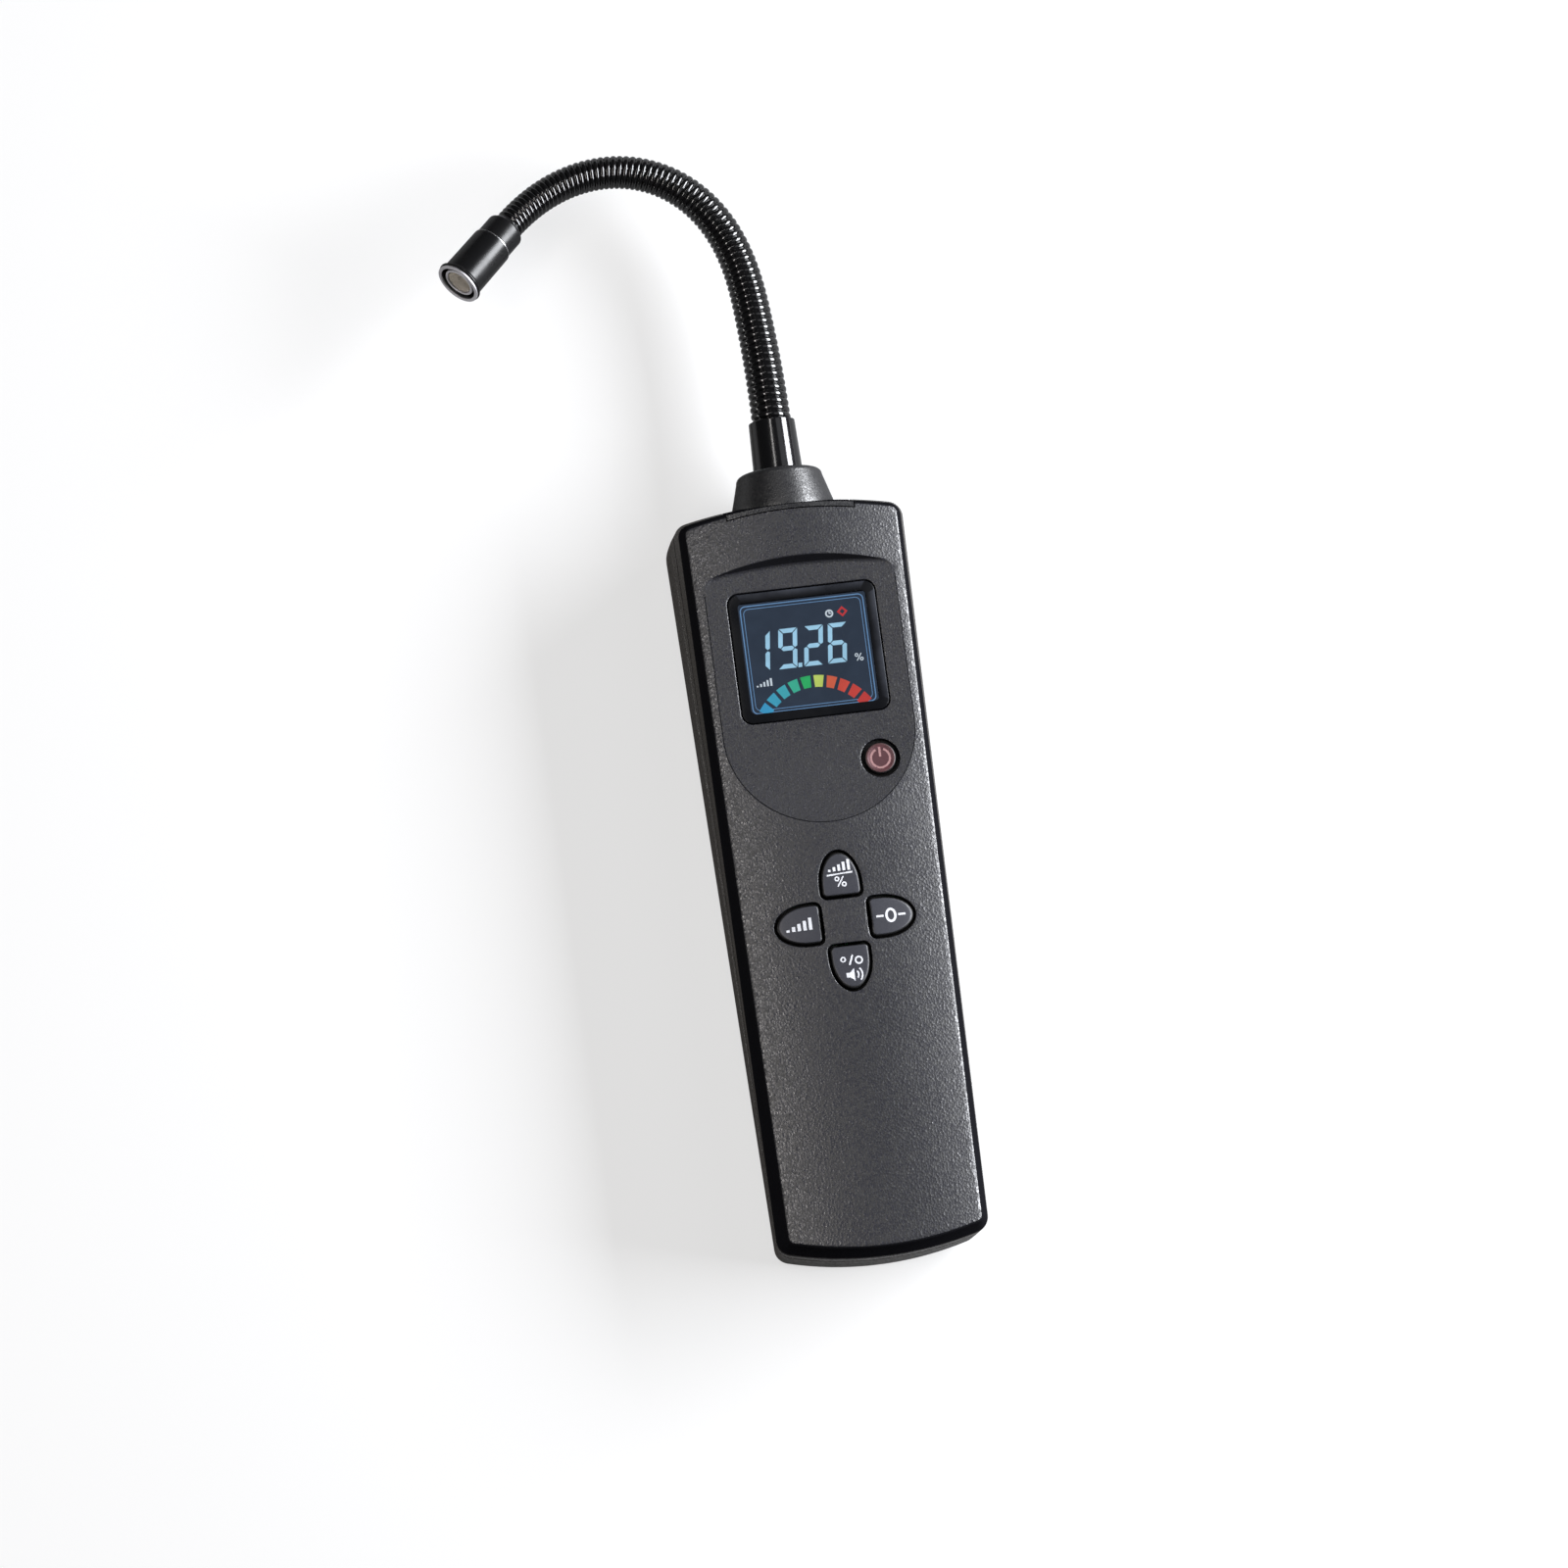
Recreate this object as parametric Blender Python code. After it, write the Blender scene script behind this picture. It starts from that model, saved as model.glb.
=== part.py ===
"""Handheld gas leak detector with a gooseneck probe, lying on its back.

The flat back lies on z = 0, +Z points out of the display face, +Y points towards the
probe and +X is to the reader's right. All lengths are in metres, all angles in degrees.
"""

import math

import bmesh
import bpy
from mathutils import Matrix, Vector

MM = 0.001

# Fits between neighbouring pieces
GAP = 0.3 * MM
SCREW_PLAY = 0.35 * MM

# Small broken edges, and how far cutters run past what they cut
EDGE_BREAK = 0.3 * MM
FINE_BREAK = 0.15 * MM
SMALLEST_ROUND = 0.6 * MM
OVERCUT = 2.0 * MM
FAR_CUT = 20.0 * MM

# Housing: the face is a tapered outline with bowed ends, crowned across its width
FACE_LENGTH = 186.0 * MM
FACE_WIDTH_TOP = 56.0 * MM
FACE_WIDTH_BOTTOM = 50.6 * MM
FACE_TOP_BOW = 3.6 * MM
FACE_BOTTOM_BOW = 4.2 * MM
FACE_CORNER = 2.2 * MM
FACE_EDGE_Z = 33.0 * MM
FACE_EDGE_ROUND = 0.7 * MM
CROWN_RISE = 3.2 * MM
WALL = 2.2 * MM

# Parting line between the covers, with a tongue on the rear cover
PARTING_Z = 24.5 * MM
PARTING_FLARE = 2.0 * MM
PARTING_FLARE_BOTTOM = 1.2 * MM
TONGUE_HEIGHT = 1.6 * MM
TONGUE_THICKNESS = 0.8 * MM

# Rear cover: widest low down, tucked in at the grip, with a groove round its side
REAR_WIDEST_Z = 13.0 * MM
REAR_SIDE_TOP = 1.2 * MM
REAR_SIDE_BOTTOM = -1.0 * MM
REAR_END_TOP = 0.6 * MM
REAR_END_BOTTOM = 0.7 * MM
REAR_CORNER_TOP = 7.0 * MM
REAR_CORNER_BOTTOM = 4.0 * MM
BACK_EDGE_ROUND = 5.5 * MM
GROOVE_Z = 19.4 * MM
GROOVE_WIDTH = 0.9 * MM
GROOVE_DEPTH = 0.5 * MM

# Display recess in the face: a straight-sided floor under a curved top wall
RECESS_SIDE_MARGIN = 3.25 * MM
RECESS_TOP_MARGIN = 10.6 * MM
RECESS_TOP_SAG = 3.9 * MM
RECESS_TOP_CORNER = 3.0 * MM
RECESS_FLOOR_MARGIN = 2.8 * MM
RECESS_WALL_SLOPE = 0.78

# Display: a lens in a stepped window, the panel under it
LENS_TOP_MARGIN = 7.9 * MM
LENS_WIDTH = 38.7 * MM
LENS_HEIGHT = 34.3 * MM
LENS_CORNER = 3.0 * MM
LENS_THICKNESS = 1.0 * MM
LENS_BELOW_FLOOR = 0.2 * MM
LENS_LEDGE = 2.6 * MM
PANEL_THICKNESS = 1.9 * MM
PANEL_OVERLAP = 1.25 * MM
PANEL_CORNER = 0.8 * MM

# Four keys in a cross, bullet shaped, and the round power button above them
POWER_X = 14.66 * MM
POWER_DROP = 9.6 * MM
POWER_RADIUS = 4.2 * MM
POWER_PLAY = 0.9 * MM
POWER_PROUD = 0.25 * MM
KEY_CROSS_DROP = 40.85 * MM
KEY_SPREAD = 12.0 * MM
KEY_HOLE_WIDTH = 11.2 * MM
KEY_HOLE_LENGTH = 12.6 * MM
KEY_HOLE_ARCH = 8.8 * MM
KEY_HOLE_CORNER = 1.9 * MM
KEY_PLAY = 0.6 * MM
KEY_PROUD = 0.6 * MM
KEY_EDGE_ROUND = 0.6 * MM
KEY_FLANGE = 1.0 * MM
KEY_FLANGE_THICKNESS = 1.1 * MM
KEY_TRAVEL = 0.8 * MM

# Circuit board, keypad mat and what the board carries
BOARD_THICKNESS = 1.6 * MM
BOARD_SIDE_MARGIN = 1.95 * MM
BOARD_TOP_MARGIN = 5.0 * MM
BOARD_SHOULDER = 12.5 * MM
BOARD_TAB = 11.8 * MM
MAT_THICKNESS = 1.0 * MM
MAT_MARGIN = 2.2 * MM
MAT_TO_WAIST = 0.4 * MM
BUZZER_X = 12.0 * MM
BUZZER_DROP = 7.8 * MM
BUZZER_RADIUS = 6.0 * MM
BUZZER_HEIGHT = 3.2 * MM
BUZZER_PORT_RADIUS = 2.4 * MM
BUZZER_PORT_DEPTH = 0.5 * MM
CONNECTOR_WIDTH = 8.0 * MM
CONNECTOR_LENGTH = 5.0 * MM
CONNECTOR_HEIGHT = 5.6 * MM
CONNECTOR_DROP = 18.0 * MM

# Board screws into standoffs under the face
STANDOFF_TOP_INSET = 8.8 * MM
STANDOFF_BOTTOM_INSET = 5.4 * MM
STANDOFF_SIDE_INSET = 3.4 * MM
STANDOFF_RADIUS = 2.3 * MM
BOARD_SCREW_RADIUS = 0.9 * MM
BOARD_SCREW_LENGTH = 4.1 * MM
BOARD_SCREW_HEAD_RADIUS = 1.9 * MM
BOARD_SCREW_HEAD = 1.3 * MM

# Housing screws, driven from the back up deep counterbores
SCREW_SIDE_INSET = 5.3 * MM
SCREW_TOP_INSET = 9.5 * MM
SCREW_ABOVE_DOOR = 3.55 * MM
SCREW_RADIUS = 1.4 * MM
SCREW_LENGTH = 11.0 * MM
SCREW_HEAD_RADIUS = 2.6 * MM
SCREW_HEAD = 1.8 * MM
SCREW_HEAD_ROUND = 0.65 * MM
SCREW_TIP_RADIUS = 0.4 * MM
SCREW_SEAT_DEPTH = 6.2 * MM
POST_WALL = 1.3 * MM
BOSS_WALL = 1.35 * MM
CROSS_SLOT_LENGTH = 2.8 * MM
CROSS_SLOT_WIDTH = 0.6 * MM
CROSS_SLOT_DEPTH = 0.8 * MM

# Battery compartment for three slim cells, with a sliding door at the lower end
CELL_RADIUS = 5.25 * MM
CELL_LENGTH = 43.7 * MM
CELL_EDGE = 0.4 * MM
CELL_NUB_RADIUS = 1.9 * MM
CELL_NUB_LENGTH = 0.8 * MM
CELL_SPACING = 0.4 * MM
CELL_COUNT = 3
PACK_TO_END = 0.15 * MM
CONTACT_THICKNESS = 0.5 * MM
CONTACT_SPRING_LENGTH = 1.0 * MM
CONTACT_INSET = 0.6 * MM
CONTACT_BUMP_BASE = 0.5
CONTACT_BUMP_TIP = 0.3
COMPARTMENT_WALL = 1.5 * MM
DOOR_HALF_WIDTH = 17.0 * MM
DOOR_SKIN = 1.2 * MM
DOOR_RUNNER = 1.1 * MM
DOOR_TONGUE = 1.1 * MM
DOOR_FLUSH_STEP = 0.2 * MM
DOOR_TOP_MARGIN = 2.4 * MM
DOOR_GRIP_COUNT = 5
DOOR_GRIP_PITCH = 2.2 * MM
DOOR_GRIP_WIDTH = 1.0 * MM
DOOR_GRIP_DEPTH = 0.5 * MM
DOOR_GRIP_LENGTH = 16.0 * MM
DOOR_GRIP_INSET = 5.0 * MM

# Neck mount: an insert in the top end wall with a conical collar
NECK_Z = 17.5 * MM
INSERT_HALF_WIDTH = 16.5 * MM
INSERT_STRIP = 1.8 * MM
INSERT_BOTTOM_Z = 3.9 * MM
INSERT_PLATE = 2.0 * MM
INSERT_PLATE_INSET = 0.3 * MM
INSERT_PLATE_OVERLAP = 2.6 * MM
INSERT_PLATE_DROP = 3.5 * MM
COLLAR_REACH = 11.2 * MM
COLLAR_BASE_RADIUS = 13.4 * MM
COLLAR_TIP_RADIUS = 11.3 * MM
COLLAR_SHOULDER = 1.6 * MM

# Base ferrule, clamped through the mount by a nut
FERRULE_REACH = 13.8 * MM
FERRULE_BASE_RADIUS = 6.45 * MM
FERRULE_TIP_RADIUS = 6.05 * MM
FERRULE_SEAT_DEPTH = 9.8 * MM
FERRULE_TAIL_RADIUS = 5.0 * MM
FERRULE_BORE_RADIUS = 2.6 * MM
NECK_SEAT_DEPTH = 6.0 * MM
NUT_THICKNESS = 3.0 * MM
NUT_HALF_ACROSS_FLATS = 7.5 * MM
TAIL_PAST_NUT = 0.8 * MM

# Gooseneck: heading turns from +Y towards -X along the route, then the tip rises
NECK_LENGTH = 121.3 * MM
NECK_LEAN = 18.8
NECK_BEND = 119.4
NECK_BEND_START = 0.236
NECK_BEND_SPAN = 0.842
NECK_TIP_RISE = 17.0
NECK_RISE_START = 0.7
NECK_BASE_RADIUS = 5.2 * MM
NECK_TIP_RADIUS = 3.98 * MM
NECK_BORE_RADIUS = 2.3 * MM
RIDGE_PITCH_RATIO = 0.355
RIDGE_DEPTH_RATIO = 0.11
NECK_SIDES = 12
NECK_BORE_STEPS = 16
RIDGE_SHARP_ANGLE = 20.0
ROUTE_DIVISIONS = 240
CABLE_RADIUS = 1.75 * MM
CABLE_STRAIGHT = 1.5 * MM
CABLE_PLAY = 0.5 * MM

# Sensor head, along its own axis from the rear of the head ferrule
HEAD_LENGTH = 22.2 * MM
HEAD_FERRULE_LENGTH = 6.7 * MM
HEAD_FERRULE_RADIUS = 5.15 * MM
HEAD_FERRULE_ROUND = 1.0 * MM
HEAD_NECK_SEAT = 4.0 * MM
SPIGOT_RADIUS = 4.3 * MM
SPIGOT_LENGTH = 3.0 * MM
CAP_REAR_RADIUS = 5.5 * MM
CAP_FRONT_RADIUS = 5.65 * MM
CAP_LIP_RADIUS = 6.4 * MM
CAP_LIP_LENGTH = 0.9 * MM
CAP_BORE_RADIUS = 4.95 * MM
RING_THICKNESS = 0.5 * MM
CAN_RADIUS = 4.2 * MM
CAN_LENGTH = 5.0 * MM
CAN_RIM = 0.65 * MM
CAN_DEEP = 1.0 * MM
CAN_RECESS = 0.5 * MM
MESH_THICKNESS = 0.4 * MM
MESH_DOME = 0.25 * MM
SOCKET_LENGTH = 3.0 * MM

# Facets
ROUND_STEPS = 24
SMALL_ROUND_STEPS = 16
SCREW_STEPS = 12
WELD = 0.002 * MM

# Face and crown, worked out from the dimensions above
HALF_LENGTH = FACE_LENGTH / 2
CROWN_HALF_WIDTH = FACE_WIDTH_TOP / 2
CROWN_RADIUS = (CROWN_HALF_WIDTH**2 + CROWN_RISE**2) / (2 * CROWN_RISE)
CROWN_TOP_Z = FACE_EDGE_Z + CROWN_RISE
CUT_TOP_Z = CROWN_TOP_Z + 2 * OVERCUT
REAR_RIM_Z = PARTING_Z - GAP
RECESS_HALF_WIDTH = CROWN_HALF_WIDTH - RECESS_SIDE_MARGIN


def crown_z(x, below=0.0):
    """Height of the crowned face, or of a surface a wall below it."""
    return CROWN_TOP_Z - CROWN_RADIUS + math.sqrt((CROWN_RADIUS - below) ** 2 - x**2)


def face_half_width(y):
    """Half width of the face's edge at a place along its length."""
    share = (y + HALF_LENGTH) / FACE_LENGTH
    return (FACE_WIDTH_BOTTOM + (FACE_WIDTH_TOP - FACE_WIDTH_BOTTOM) * share) / 2


# Places on the face, from the top end downwards
RECESS_FLOOR_Z = crown_z(RECESS_HALF_WIDTH)
RECESS_TOP_Y = HALF_LENGTH - RECESS_TOP_MARGIN
DISPLAY_Y = RECESS_TOP_Y - LENS_TOP_MARGIN - LENS_HEIGHT / 2
RECESS_ROUND_Y = DISPLAY_Y - LENS_HEIGHT / 2 - RECESS_FLOOR_MARGIN
POWER_Y = RECESS_ROUND_Y - POWER_DROP
KEY_CROSS_Y = POWER_Y - KEY_CROSS_DROP
POWER_HOLE_RADIUS = POWER_RADIUS + POWER_PLAY

# Battery compartment, from the lower end and the door upwards
CELL_PITCH = 2 * CELL_RADIUS + CELL_SPACING
CELL_Z = DOOR_FLUSH_STEP + DOOR_SKIN + DOOR_TONGUE + 2 * GAP + CELL_RADIUS
PACK_HALF_WIDTH = CELL_PITCH * (CELL_COUNT - 1) / 2 + CELL_RADIUS + GAP
PACK_HALF_LENGTH = CELL_LENGTH / 2 + GAP + CONTACT_SPRING_LENGTH + CONTACT_THICKNESS + GAP
PACK_TOP_Z = CELL_Z + CELL_RADIUS + GAP
CELL_CENTRE_Y = -HALF_LENGTH + PACK_TO_END + PACK_HALF_LENGTH
DOOR_TOP_Y = CELL_CENTRE_Y + PACK_HALF_LENGTH + DOOR_TOP_MARGIN

# Mat and board round the keys, then the screws beside and below them
MAT_TOP_Y = POWER_Y + POWER_HOLE_RADIUS + MAT_MARGIN
MAT_HALF_WIDTH = KEY_SPREAD + KEY_HOLE_LENGTH / 2 + MAT_MARGIN
MAT_WAIST_Y = KEY_CROSS_Y - KEY_HOLE_WIDTH / 2 - MAT_MARGIN
MAT_NARROW = KEY_HOLE_WIDTH / 2 + MAT_MARGIN
MAT_BOTTOM_Y = KEY_CROSS_Y - KEY_SPREAD - KEY_HOLE_LENGTH / 2 - MAT_MARGIN
BOARD_TOP_Z = RECESS_FLOOR_Z - WALL - PANEL_THICKNESS - 2 * GAP
BOARD_Z = BOARD_TOP_Z - BOARD_THICKNESS
BOARD_TOP_Y = HALF_LENGTH - BOARD_TOP_MARGIN
BOARD_SHOULDER_Y = BOARD_TOP_Y - BOARD_SHOULDER
BOARD_WAIST_Y = MAT_WAIST_Y - MAT_TO_WAIST
BOARD_BOTTOM_Y = MAT_BOTTOM_Y - BOARD_TAB
BOARD_HALF_WIDTH = face_half_width(BOARD_WAIST_Y) - WALL - BOARD_SIDE_MARGIN
SCREW_HOLE_RADIUS = SCREW_RADIUS + SCREW_PLAY
BOSS_RADIUS = SCREW_HOLE_RADIUS + BOSS_WALL
SCREW_SEAT_Z = REAR_RIM_Z - SCREW_SEAT_DEPTH
SCREW_TOP_Y = HALF_LENGTH - SCREW_TOP_INSET
SCREW_TOP_X = face_half_width(SCREW_TOP_Y) - SCREW_SIDE_INSET
SCREW_BOTTOM_Y = min(DOOR_TOP_Y + SCREW_ABOVE_DOOR, BOARD_WAIST_Y - BOSS_RADIUS - 2 * GAP)
SCREW_BOTTOM_X = face_half_width(SCREW_BOTTOM_Y) - SCREW_SIDE_INSET
BOARD_NARROW = SCREW_BOTTOM_X - BOSS_RADIUS - 2 * GAP
STANDOFF_X = BOARD_NARROW - STANDOFF_SIDE_INSET
STANDOFF_TOP_Y = BOARD_TOP_Y - STANDOFF_TOP_INSET
STANDOFF_BOTTOM_Y = BOARD_BOTTOM_Y + STANDOFF_BOTTOM_INSET
CONNECTOR_Y = BOARD_TOP_Y - CONNECTOR_DROP

# Neck mount and ferrule, outwards along +Y
INSERT_PLATE_Y = HALF_LENGTH - INSERT_PLATE_INSET
NUT_TOP_Y = INSERT_PLATE_Y - INSERT_PLATE - GAP
NUT_BOTTOM_Y = NUT_TOP_Y - NUT_THICKNESS
TAIL_END_Y = NUT_BOTTOM_Y - TAIL_PAST_NUT
COLLAR_TIP_Y = HALF_LENGTH + FACE_TOP_BOW + COLLAR_REACH
FERRULE_SEAT_Y = COLLAR_TIP_Y - FERRULE_SEAT_DEPTH
FERRULE_TIP_Y = COLLAR_TIP_Y + FERRULE_REACH

# Sensor head, forwards along its axis
CAP_REAR = HEAD_FERRULE_LENGTH + GAP
CAP_FRONT = HEAD_LENGTH - RING_THICKNESS
CAN_FRONT = HEAD_LENGTH - CAN_RECESS
CAN_REAR = CAN_FRONT - CAN_LENGTH
SOCKET_FRONT = CAN_REAR - GAP
SOCKET_REAR = SOCKET_FRONT - SOCKET_LENGTH


# Colours and finishes

def material(name, colour, roughness, metallic=0.0):
    """A plain Principled material, made once for each name."""
    found = bpy.data.materials.get(name)
    if found:
        return found
    made = bpy.data.materials.new(name)
    made.use_nodes = True
    shader = made.node_tree.nodes["Principled BSDF"]
    shader.inputs["Base Color"].default_value = (*colour, 1.0)
    shader.inputs["Roughness"].default_value = roughness
    shader.inputs["Metallic"].default_value = metallic
    made.diffuse_color = (*colour, 1.0)
    return made


def make_materials():
    material("front_plastic", (0.085, 0.083, 0.085), 0.55)
    material("rear_plastic", (0.060, 0.060, 0.062), 0.55)
    material("collar_plastic", (0.045, 0.045, 0.048), 0.50)
    material("door_plastic", (0.058, 0.058, 0.060), 0.55)
    material("black_metal", (0.010, 0.010, 0.011), 0.20)
    material("key_rubber", (0.055, 0.058, 0.066), 0.60)
    material("power_rubber", (0.20, 0.065, 0.060), 0.45)
    material("mat_rubber", (0.03, 0.03, 0.03), 0.70)
    material("lens", (0.012, 0.014, 0.018), 0.08)
    material("panel", (0.05, 0.08, 0.12), 0.30)
    material("board", (0.02, 0.14, 0.05), 0.45)
    material("steel", (0.55, 0.55, 0.56), 0.30, 1.0)
    material("bright_metal", (0.75, 0.75, 0.77), 0.22, 1.0)
    material("mesh_metal", (0.45, 0.43, 0.38), 0.45, 1.0)
    material("cell_wrap", (0.10, 0.12, 0.16), 0.35)
    material("cable_sheath", (0.02, 0.02, 0.02), 0.50)
    material("connector_plastic", (0.70, 0.68, 0.60), 0.45)


# Building blocks

def add_object(name, mesh, material_name, smooth_angle=30.0):
    """Link a mesh as a named object, shaded smooth up to the given edge angle."""
    obj = bpy.data.objects.new(name, mesh)
    bpy.context.scene.collection.objects.link(obj)
    if material_name:
        mesh.materials.clear()
        mesh.materials.append(bpy.data.materials[material_name])
    if smooth_angle:
        mesh.shade_smooth()
        mesh.set_sharp_from_angle(angle=math.radians(smooth_angle))
    return obj


def loft(rings, closed=False):
    """Mesh through rings of equally many points: capped at both ends, or closed on itself."""
    bm = bmesh.new()
    loops = [[bm.verts.new(point) for point in ring] for ring in rings]
    pairs = list(zip(loops, loops[1:]))
    if closed:
        pairs.append((loops[-1], loops[0]))
    count = len(loops[0])
    for lower, upper in pairs:
        for i in range(count):
            j = (i + 1) % count
            bm.faces.new((lower[i], lower[j], upper[j], upper[i]))
    if not closed:
        bm.faces.new(list(reversed(loops[0])))
        bm.faces.new(loops[-1])
    bmesh.ops.recalc_face_normals(bm, faces=bm.faces)
    mesh = bpy.data.meshes.new("loft")
    bm.to_mesh(mesh)
    bm.free()
    return mesh


def prism(outline, low, high):
    """Straight prism over an (x, y) outline."""
    return loft([[(x, y, low) for x, y in outline], [(x, y, high) for x, y in outline]])


def circle(radius, steps, z=0.0, turn=0.0):
    return [
        (radius * math.cos(turn + math.tau * i / steps), radius * math.sin(turn + math.tau * i / steps), z)
        for i in range(steps)
    ]


def turned(profile, steps=ROUND_STEPS, hollow=False):
    """Turn a profile of (radius, height) round local Z. A hollow profile closes on itself."""
    return loft([circle(radius, steps, height) for radius, height in profile], closed=hollow)


def rounded_rectangle(width, height, radius, centre=(0.0, 0.0), steps=5):
    points = []
    for quarter, (sx, sy) in enumerate(((1, 1), (-1, 1), (-1, -1), (1, -1))):
        cx = centre[0] + sx * (width / 2 - radius)
        cy = centre[1] + sy * (height / 2 - radius)
        for i in range(steps + 1):
            angle = (quarter + i / steps) * math.pi / 2
            points.append((cx + radius * math.cos(angle), cy + radius * math.sin(angle)))
    return points


def rectangle(x0, x1, y0, y1):
    return [(x0, y0), (x1, y0), (x1, y1), (x0, y1)]


def box(x0, x1, y0, y1, z0, z1):
    return prism(rectangle(x0, x1, y0, y1), z0, z1)


def weld(mesh):
    """Merge the points that rounding has split, so that the next cut starts from a closed mesh."""
    bm = bmesh.new()
    bm.from_mesh(mesh)
    bmesh.ops.remove_doubles(bm, verts=bm.verts, dist=WELD)
    bmesh.ops.dissolve_degenerate(bm, edges=bm.edges, dist=WELD)
    bm.to_mesh(mesh)
    bm.free()
    return mesh


def cut(obj, mesh, operation="DIFFERENCE"):
    """Apply one exact Boolean to an object, with a temporary second solid."""
    tool = bpy.data.objects.new("tool", mesh)
    bpy.context.scene.collection.objects.link(tool)
    modifier = obj.modifiers.new("cut", "BOOLEAN")
    modifier.operation = operation
    modifier.solver = "EXACT"
    modifier.object = tool
    bpy.context.view_layer.update()
    evaluated = obj.evaluated_get(bpy.context.evaluated_depsgraph_get())
    result = bpy.data.meshes.new_from_object(evaluated)
    obj.modifiers.remove(modifier)
    obj.data = weld(result)
    bpy.data.objects.remove(tool)
    return obj


def solid(mesh):
    """A working object for cutting, not yet a finished piece."""
    obj = bpy.data.objects.new("work", mesh)
    bpy.context.scene.collection.objects.link(obj)
    return obj


def finished(obj, name, material_name, smooth_angle=30.0):
    """Turn a worked solid into the named piece."""
    mesh = weld(obj.data)
    bpy.data.objects.remove(obj)
    return add_object(name, mesh, material_name, smooth_angle)


def round_edges(obj, chosen, width, segments=2):
    """Bevel the edges that the test picks."""
    bm = bmesh.new()
    bm.from_mesh(obj.data)
    edges = [edge for edge in bm.edges if len(edge.link_faces) == 2 and chosen(edge)]
    bmesh.ops.bevel(bm, geom=edges, offset=width, segments=segments, profile=0.5,
                    affect="EDGES", clamp_overlap=True)
    bm.to_mesh(obj.data)
    bm.free()
    return obj


# Housing outline

def plan(side_top=0.0, side_bottom=None, end_top=None, end_bottom=None,
         corner_top=FACE_CORNER, corner_bottom=FACE_CORNER):
    """Housing outline in plan, grown outwards from the face edge by the given amounts."""
    side_bottom = side_top if side_bottom is None else side_bottom
    end_top = side_top if end_top is None else end_top
    end_bottom = side_top if end_bottom is None else end_bottom
    right_top = Vector((FACE_WIDTH_TOP / 2 + side_top, HALF_LENGTH + end_top))
    right_bottom = Vector((FACE_WIDTH_BOTTOM / 2 + side_bottom, -HALF_LENGTH - end_bottom))
    quarter = (end_corner(right_bottom, right_top, FACE_BOTTOM_BOW, corner_bottom, -1)
               + end_corner(right_bottom, right_top, FACE_TOP_BOW, corner_top, 1))
    left = [(-x, y) for x, y in reversed(quarter)]
    return quarter + left


def end_corner(right_bottom, right_top, bow, radius, end):
    """Half of one bowed end with its rounded corner, on the +X side."""
    corner = right_top if end > 0 else right_bottom
    along = (right_top - right_bottom).normalized()
    inward = Vector((-along.y, along.x))
    bow_radius = (corner.x**2 + bow**2) / (2 * bow)
    bow_centre = Vector((0.0, corner.y + end * (bow - bow_radius)))
    start = right_bottom + inward * radius
    reach = bow_radius - radius
    offset = start - bow_centre
    half_b = offset.dot(along)
    root = math.sqrt(half_b**2 - offset.length_squared + reach**2)
    centre = start + along * (-half_b + end * root)
    side_angle = math.atan2(-inward.y, -inward.x)
    out = centre - bow_centre
    end_angle = math.atan2(out.y, out.x)
    points = []
    corner_steps = 3
    for i in range(corner_steps + 1):
        angle = side_angle + (end_angle - side_angle) * i / corner_steps
        points.append((centre.x + radius * math.cos(angle), centre.y + radius * math.sin(angle)))
    bow_steps = 4
    middle = end * math.pi / 2
    for i in range(1, bow_steps):
        angle = end_angle + (middle - end_angle) * i / bow_steps
        points.append((bow_centre.x + bow_radius * math.cos(angle),
                       bow_centre.y + bow_radius * math.sin(angle)))
    return points if end > 0 else list(reversed(points))


def at_height(outline, z):
    return [(x, y, z) for x, y in outline]


def front_ring(z, inset=0.0):
    """Front cover ring: its drafted wall stands outside the face edge, less so at the lower end."""
    share = (FACE_EDGE_Z - z) / (FACE_EDGE_Z - PARTING_Z)
    grow = PARTING_FLARE * share - inset
    corner = max(FACE_CORNER + grow, SMALLEST_ROUND)
    end_bottom = PARTING_FLARE_BOTTOM * share - inset
    return at_height(plan(grow, end_bottom=end_bottom, corner_top=corner, corner_bottom=corner), z)


def rear_ring(z, share, inset=0.0):
    """Rear cover ring: share runs from 0 at the parting line to 1 where the cover is widest."""
    rim_corner = FACE_CORNER + PARTING_FLARE
    corner_top = rim_corner + share * (REAR_CORNER_TOP - rim_corner) - inset
    corner_bottom = rim_corner + share * (REAR_CORNER_BOTTOM - rim_corner) - inset
    outline = plan(
        PARTING_FLARE + share * REAR_SIDE_TOP - inset,
        PARTING_FLARE + share * REAR_SIDE_BOTTOM - inset,
        PARTING_FLARE + share * REAR_END_TOP - inset,
        PARTING_FLARE_BOTTOM + share * REAR_END_BOTTOM - inset,
        corner_top=max(corner_top, SMALLEST_ROUND),
        corner_bottom=max(corner_bottom, SMALLEST_ROUND),
    )
    return at_height(outline, z)


def rear_share(z):
    return min(1.0, (REAR_RIM_Z - z) / (REAR_RIM_Z - REAR_WIDEST_Z))


def crown_block(below=0.0, z0=REAR_RIM_Z - 2 * OVERCUT):
    """Everything under the crowned face, or under it by a wall."""
    reach = CROWN_HALF_WIDTH + FAR_CUT / 2
    steps = 12
    xs = [reach - 2 * reach * i / steps for i in range(steps + 1)]
    section = [(x, crown_z(x, below)) for x in xs] + [(-reach, z0), (reach, z0)]
    far = HALF_LENGTH + FAR_CUT
    return loft([[(x, -far, z) for x, z in section], [(x, far, z) for x, z in section]])


# Display recess

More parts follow.
